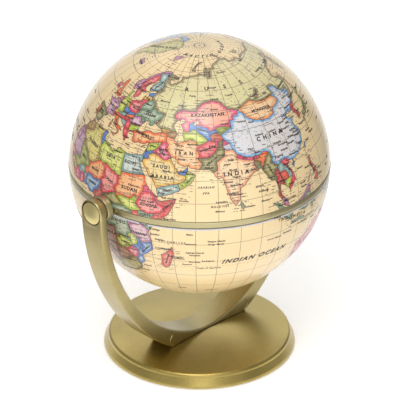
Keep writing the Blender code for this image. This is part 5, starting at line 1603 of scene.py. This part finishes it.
def printed_map():
    """Printed paper under varnish: country tints, borders, grid and aged paper, with a painted
    highlight along the southern rim.
    """
    paint = Paint("printed_map")
    distance = paint.attribute("edge", "Fac")
    land = paint.attribute("land", "Fac")
    cloud = paint.noise(38, 5)
    grain = paint.noise(900, 4)
    height, latitude, longitude, narrowing = printed_place(paint)
    colour = painted_ground(paint, distance, land, cloud, grain)
    colour = paint.over(colour, map_grid(paint, latitude, longitude, narrowing), GRID_INK)
    east = paint.times(paint.times(longitude, MM_PER_DEGREE), narrowing)
    north = paint.times(latitude, MM_PER_DEGREE)
    marks = paint.times(fine_print(paint, east, north), paint.fade(distance, 0.22, 0.34, 0.0, 0.85))
    marks = paint.times(marks, paint.fade(distance, PRINT_REACH, PRINT_REACH + 0.6, 1.0, 0.0))
    colour = paint.over(colour, marks, FINE_INK)
    colour = paint.over(colour, paint.fade(distance, 0.08, 0.2, 0.9, 0.0), BORDER_INK)
    # A pale stripe just below the southern rim: painted highlight on the shell's rim.
    painted_rim_highlight = paint.fade(height, *[-(SOUTH_RIM + lower) / BALL_RADIUS for lower in PAINTED_RIM_HIGHLIGHT_SPAN])
    painted_rim_highlight = paint.times(painted_rim_highlight, paint.fade(height, -0.001, 0.001, 1.0, 0.0))
    colour = paint.over(colour, painted_rim_highlight, PAINTED_RIM_HIGHLIGHT)
    paint.set(Base_Color=colour, Coat_Weight=1.0, Coat_Roughness=0.24, Coat_IOR=1.5,
              Roughness=paint.fade(grain, 0.3, 0.7, 0.42, 0.52))
    paint.bump(paint.noise(260, 3), 0.08, 0.00008)
    return paint.material


def pole_print():
    """The caps at the poles: the map's paper, with its meridians drawn on and an outline."""
    paint = Paint("pole_print")
    tone = paint.fade(paint.noise(400, 4), 0.3, 0.7)
    colour = paint.mix(tone, linear(POLE_PAPER[0]), linear(POLE_PAPER[1]))
    x, y, _ = paint.split(paint.place)
    away = paint.math('SQRT', paint.math('ADD', paint.times(x, x), paint.times(y, y)))
    turn = paint.times(paint.math('ARCTAN2', y, x), DEGREE)
    spokes = paint.math('PINGPONG', paint.math('SUBTRACT', turn, MAP_TURN), 15.0)
    spokes = paint.times(paint.times(spokes, 1 / DEGREE), away)
    rings = paint.math('PINGPONG', paint.math('SUBTRACT', away, 0.6 * MM), 0.6 * MM)
    lines = paint.fade(paint.math('MINIMUM', spokes, rings), 0.05 * MM, 0.13 * MM, 0.75, 0.0)
    paint.set(Base_Color=paint.over(colour, lines, POLE_INK), Coat_Weight=0.8, Coat_Roughness=0.24,
              Roughness=paint.fade(tone, 0, 1, 0.42, 0.5))
    paint.bump(paint.noise(1500, 3), 0.1, 0.00004)
    return paint.material


def name_ink():
    """The dark ink of the names."""
    paint = Paint("ink")
    tone = paint.fade(paint.noise(1500, 3), 0.35, 0.7)
    paint.set(Base_Color=paint.mix(tone, linear(NAME_INK[0]), linear(NAME_INK[1])),
              Coat_Weight=0.5, Coat_Roughness=0.16, Roughness=paint.fade(tone, 0, 1, 0.4, 0.55))
    paint.bump(paint.noise(2600, 2), 0.1, 0.00002)
    return paint.material


def finish_inner_nodes():
    """Materials of the small pieces that keep their CAD shape, found by a word in their names."""
    steel = plain_surface("plated_steel", (150, 150, 148), (196, 195, 190), 300, 0.28, 1.0,
                          2400, 0.00003)
    nylon = plain_surface("nylon", (214, 210, 196), (232, 229, 216), 220, 0.48, 0.0, 1800, 0.00005)
    black = plain_surface("black_plastic", (26, 26, 27), (44, 43, 42), 180, 0.5, 0.0, 1500, 0.00008)
    foam = plain_surface("foam_pad", (22, 22, 23), (40, 39, 38), 900, 0.92, 0.0, 1300, 0.0004)
    chosen = {"screw": steel, "washer": steel, "clip": steel, "polar_axle": steel,
              "bush": nylon, "axle_bridge": black, "pad": foam}
    for name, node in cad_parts.items():
        for word, material in chosen.items():
            if word in name:
                node.data.materials.clear()
                node.data.materials.append(material)


# ---------------------------------------------------------------- floor, light and camera

def direction(azimuth, elevation):
    """The unit vector towards a viewer at that azimuth and elevation, in degrees."""
    a, e = math.radians(azimuth), math.radians(elevation)
    return Vector((math.sin(a) * math.cos(e), -math.cos(a) * math.cos(e), math.sin(e)))


def add_camera():
    """The camera, from the object's front left and above it."""
    back = direction(CAMERA_AZIMUTH, CAMERA_ELEVATION)
    right = Vector((0, 0, 1)).cross(back).normalized()
    up = back.cross(right)
    data = bpy.data.cameras.new("camera")
    data.lens = CAMERA_LENS
    data.sensor_width = 36
    data.clip_start = 0.05
    data.clip_end = 20
    camera = bpy.data.objects.new("camera", data)
    bpy.context.scene.collection.objects.link(camera)
    camera.location = (CENTRE + back * CAMERA_DISTANCE) * MM
    target = CENTRE - up * AIM_BELOW_CENTRE + right * AIM_RIGHT
    camera.rotation_euler = (target * MM - camera.location).to_track_quat('-Z', 'Y').to_euler()
    bpy.context.scene.camera = camera


def add_light(name, azimuth, elevation, distance, size, power):
    """A rectangular light that faces the ball: angles in degrees, lengths in metres."""
    data = bpy.data.lights.new(name, 'AREA')
    data.shape = 'RECTANGLE'
    data.size, data.size_y = size
    data.energy = power
    light = bpy.data.objects.new(name, data)
    bpy.context.scene.collection.objects.link(light)
    towards = direction(azimuth, elevation)
    light.location = CENTRE * MM + towards * distance
    light.rotation_euler = towards.to_track_quat('Z', 'Y').to_euler()


def glowing_grey(name, dark, light, tone_scale, roughness, glow):
    """A softly glowing grey that varies a little."""
    paint = Paint(name)
    tone = paint.fade(paint.noise(tone_scale, 2), 0.3, 0.7)
    paint.set(Base_Color=paint.mix(tone, (dark, dark, dark, 1), (light, light, light, 1)),
              Roughness=roughness, Emission_Color=(1, 1, 1, 1), Emission_Strength=glow)
    return paint.material


def add_sheet(name, corners, material):
    """A flat sheet from its four corners in metres."""
    mesh = bpy.data.meshes.new(name)
    mesh.from_pydata(corners, [], [(0, 1, 2, 3)])
    mesh.materials.append(material)
    sheet = bpy.data.objects.new(name, mesh)
    bpy.context.scene.collection.objects.link(sheet)
    return sheet


def add_world():
    """An even white sky."""
    world = bpy.data.worlds.new("studio")
    world.use_nodes = True
    background = world.node_tree.nodes["Background"]
    background.inputs["Color"].default_value = (1, 1, 1, 1)
    background.inputs["Strength"].default_value = WORLD_GLOW
    bpy.context.scene.world = world


def add_surroundings():
    """Sky, white table, lights, and grey cards beside the object that shape its reflections."""
    add_world()
    corners = [(x * FLOOR_REACH, y * FLOOR_REACH, 0) for x, y in ((-1, -1), (1, -1), (1, 1), (-1, 1))]
    floor = add_sheet("floor", corners, glowing_grey("white_table", 0.90, 0.93, 6, 0.7, FLOOR_GLOW))
    for light in LIGHTS:
        add_light(*light)
    for name, sign, glow in CARDS:
        add_card(name, sign, glow)


def add_card(name, sign, glow):
    """A grey card beside the object, out of the picture."""
    right = Vector((0, 0, 1)).cross(direction(CAMERA_AZIMUTH, 0))
    back = direction(CAMERA_AZIMUTH, 0)
    middle = right * sign * CARD_DISTANCE
    (low, high), (start, end) = CARD_HEIGHTS, CARD_SPAN
    corners = [middle + back * along + Vector((0, 0, height))
               for along, height in ((start, low), (end, low), (end, high), (start, high))]
    card = add_sheet(f"card_{name}", corners, glowing_grey("grey_card", 0.10, 0.13, 9, 0.8, glow))
    card.visible_camera = False


# ---------------------------------------------------------------- build

bpy.context.scene.view_settings.view_transform = 'Standard'
map_material = printed_map()
shell_material = plain_surface("shell_inside", (196, 186, 166), (222, 214, 196), 60, 0.6, 0.0,
                               700, 0.0001)
ink_material = name_ink()
# The stand's one satin gold in four copies, tinted to the light each piece gets: the caps' copy is
# lighter as painted highlight, the arm's is darker as painted shade, and the base's is darker and more
# saturated as painted shade and painted reflection of the ball's shaded underside.
gold = satin_gold("satin_gold", (168, 157, 113), (184, 173, 130), (60, 60, 900))
shaded_arm_gold = satin_gold("satin_gold_arm_shaded", (157, 141, 84), (172, 157, 104), (45, 1300, 45))
lit_cap_gold = satin_gold("satin_gold_cap_lit", (218, 200, 124), (232, 215, 146), (60, 900, 60))
shaded_base_gold = satin_gold("satin_gold_base_shaded", (160, 136, 42), (178, 154, 60), (60, 60, 900), 0.8)
cream = pole_print()

shores, inland = all_outlines()
add_half("north_map", 1, NORTH_RIM, shores, inland, [map_material, shell_material])
add_half("south_map", -1, SOUTH_RIM, shores, inland, [map_material, shell_material])
add_lettering(ink_material)
add_pole_caps(cream)
add_ring(gold)
add_base(shaded_base_gold)
add_arm(shaded_arm_gold)
add_arm_beads(shaded_arm_gold)
add_pivot_caps(lit_cap_gold)
finish_inner_nodes()
add_surroundings()
add_camera()
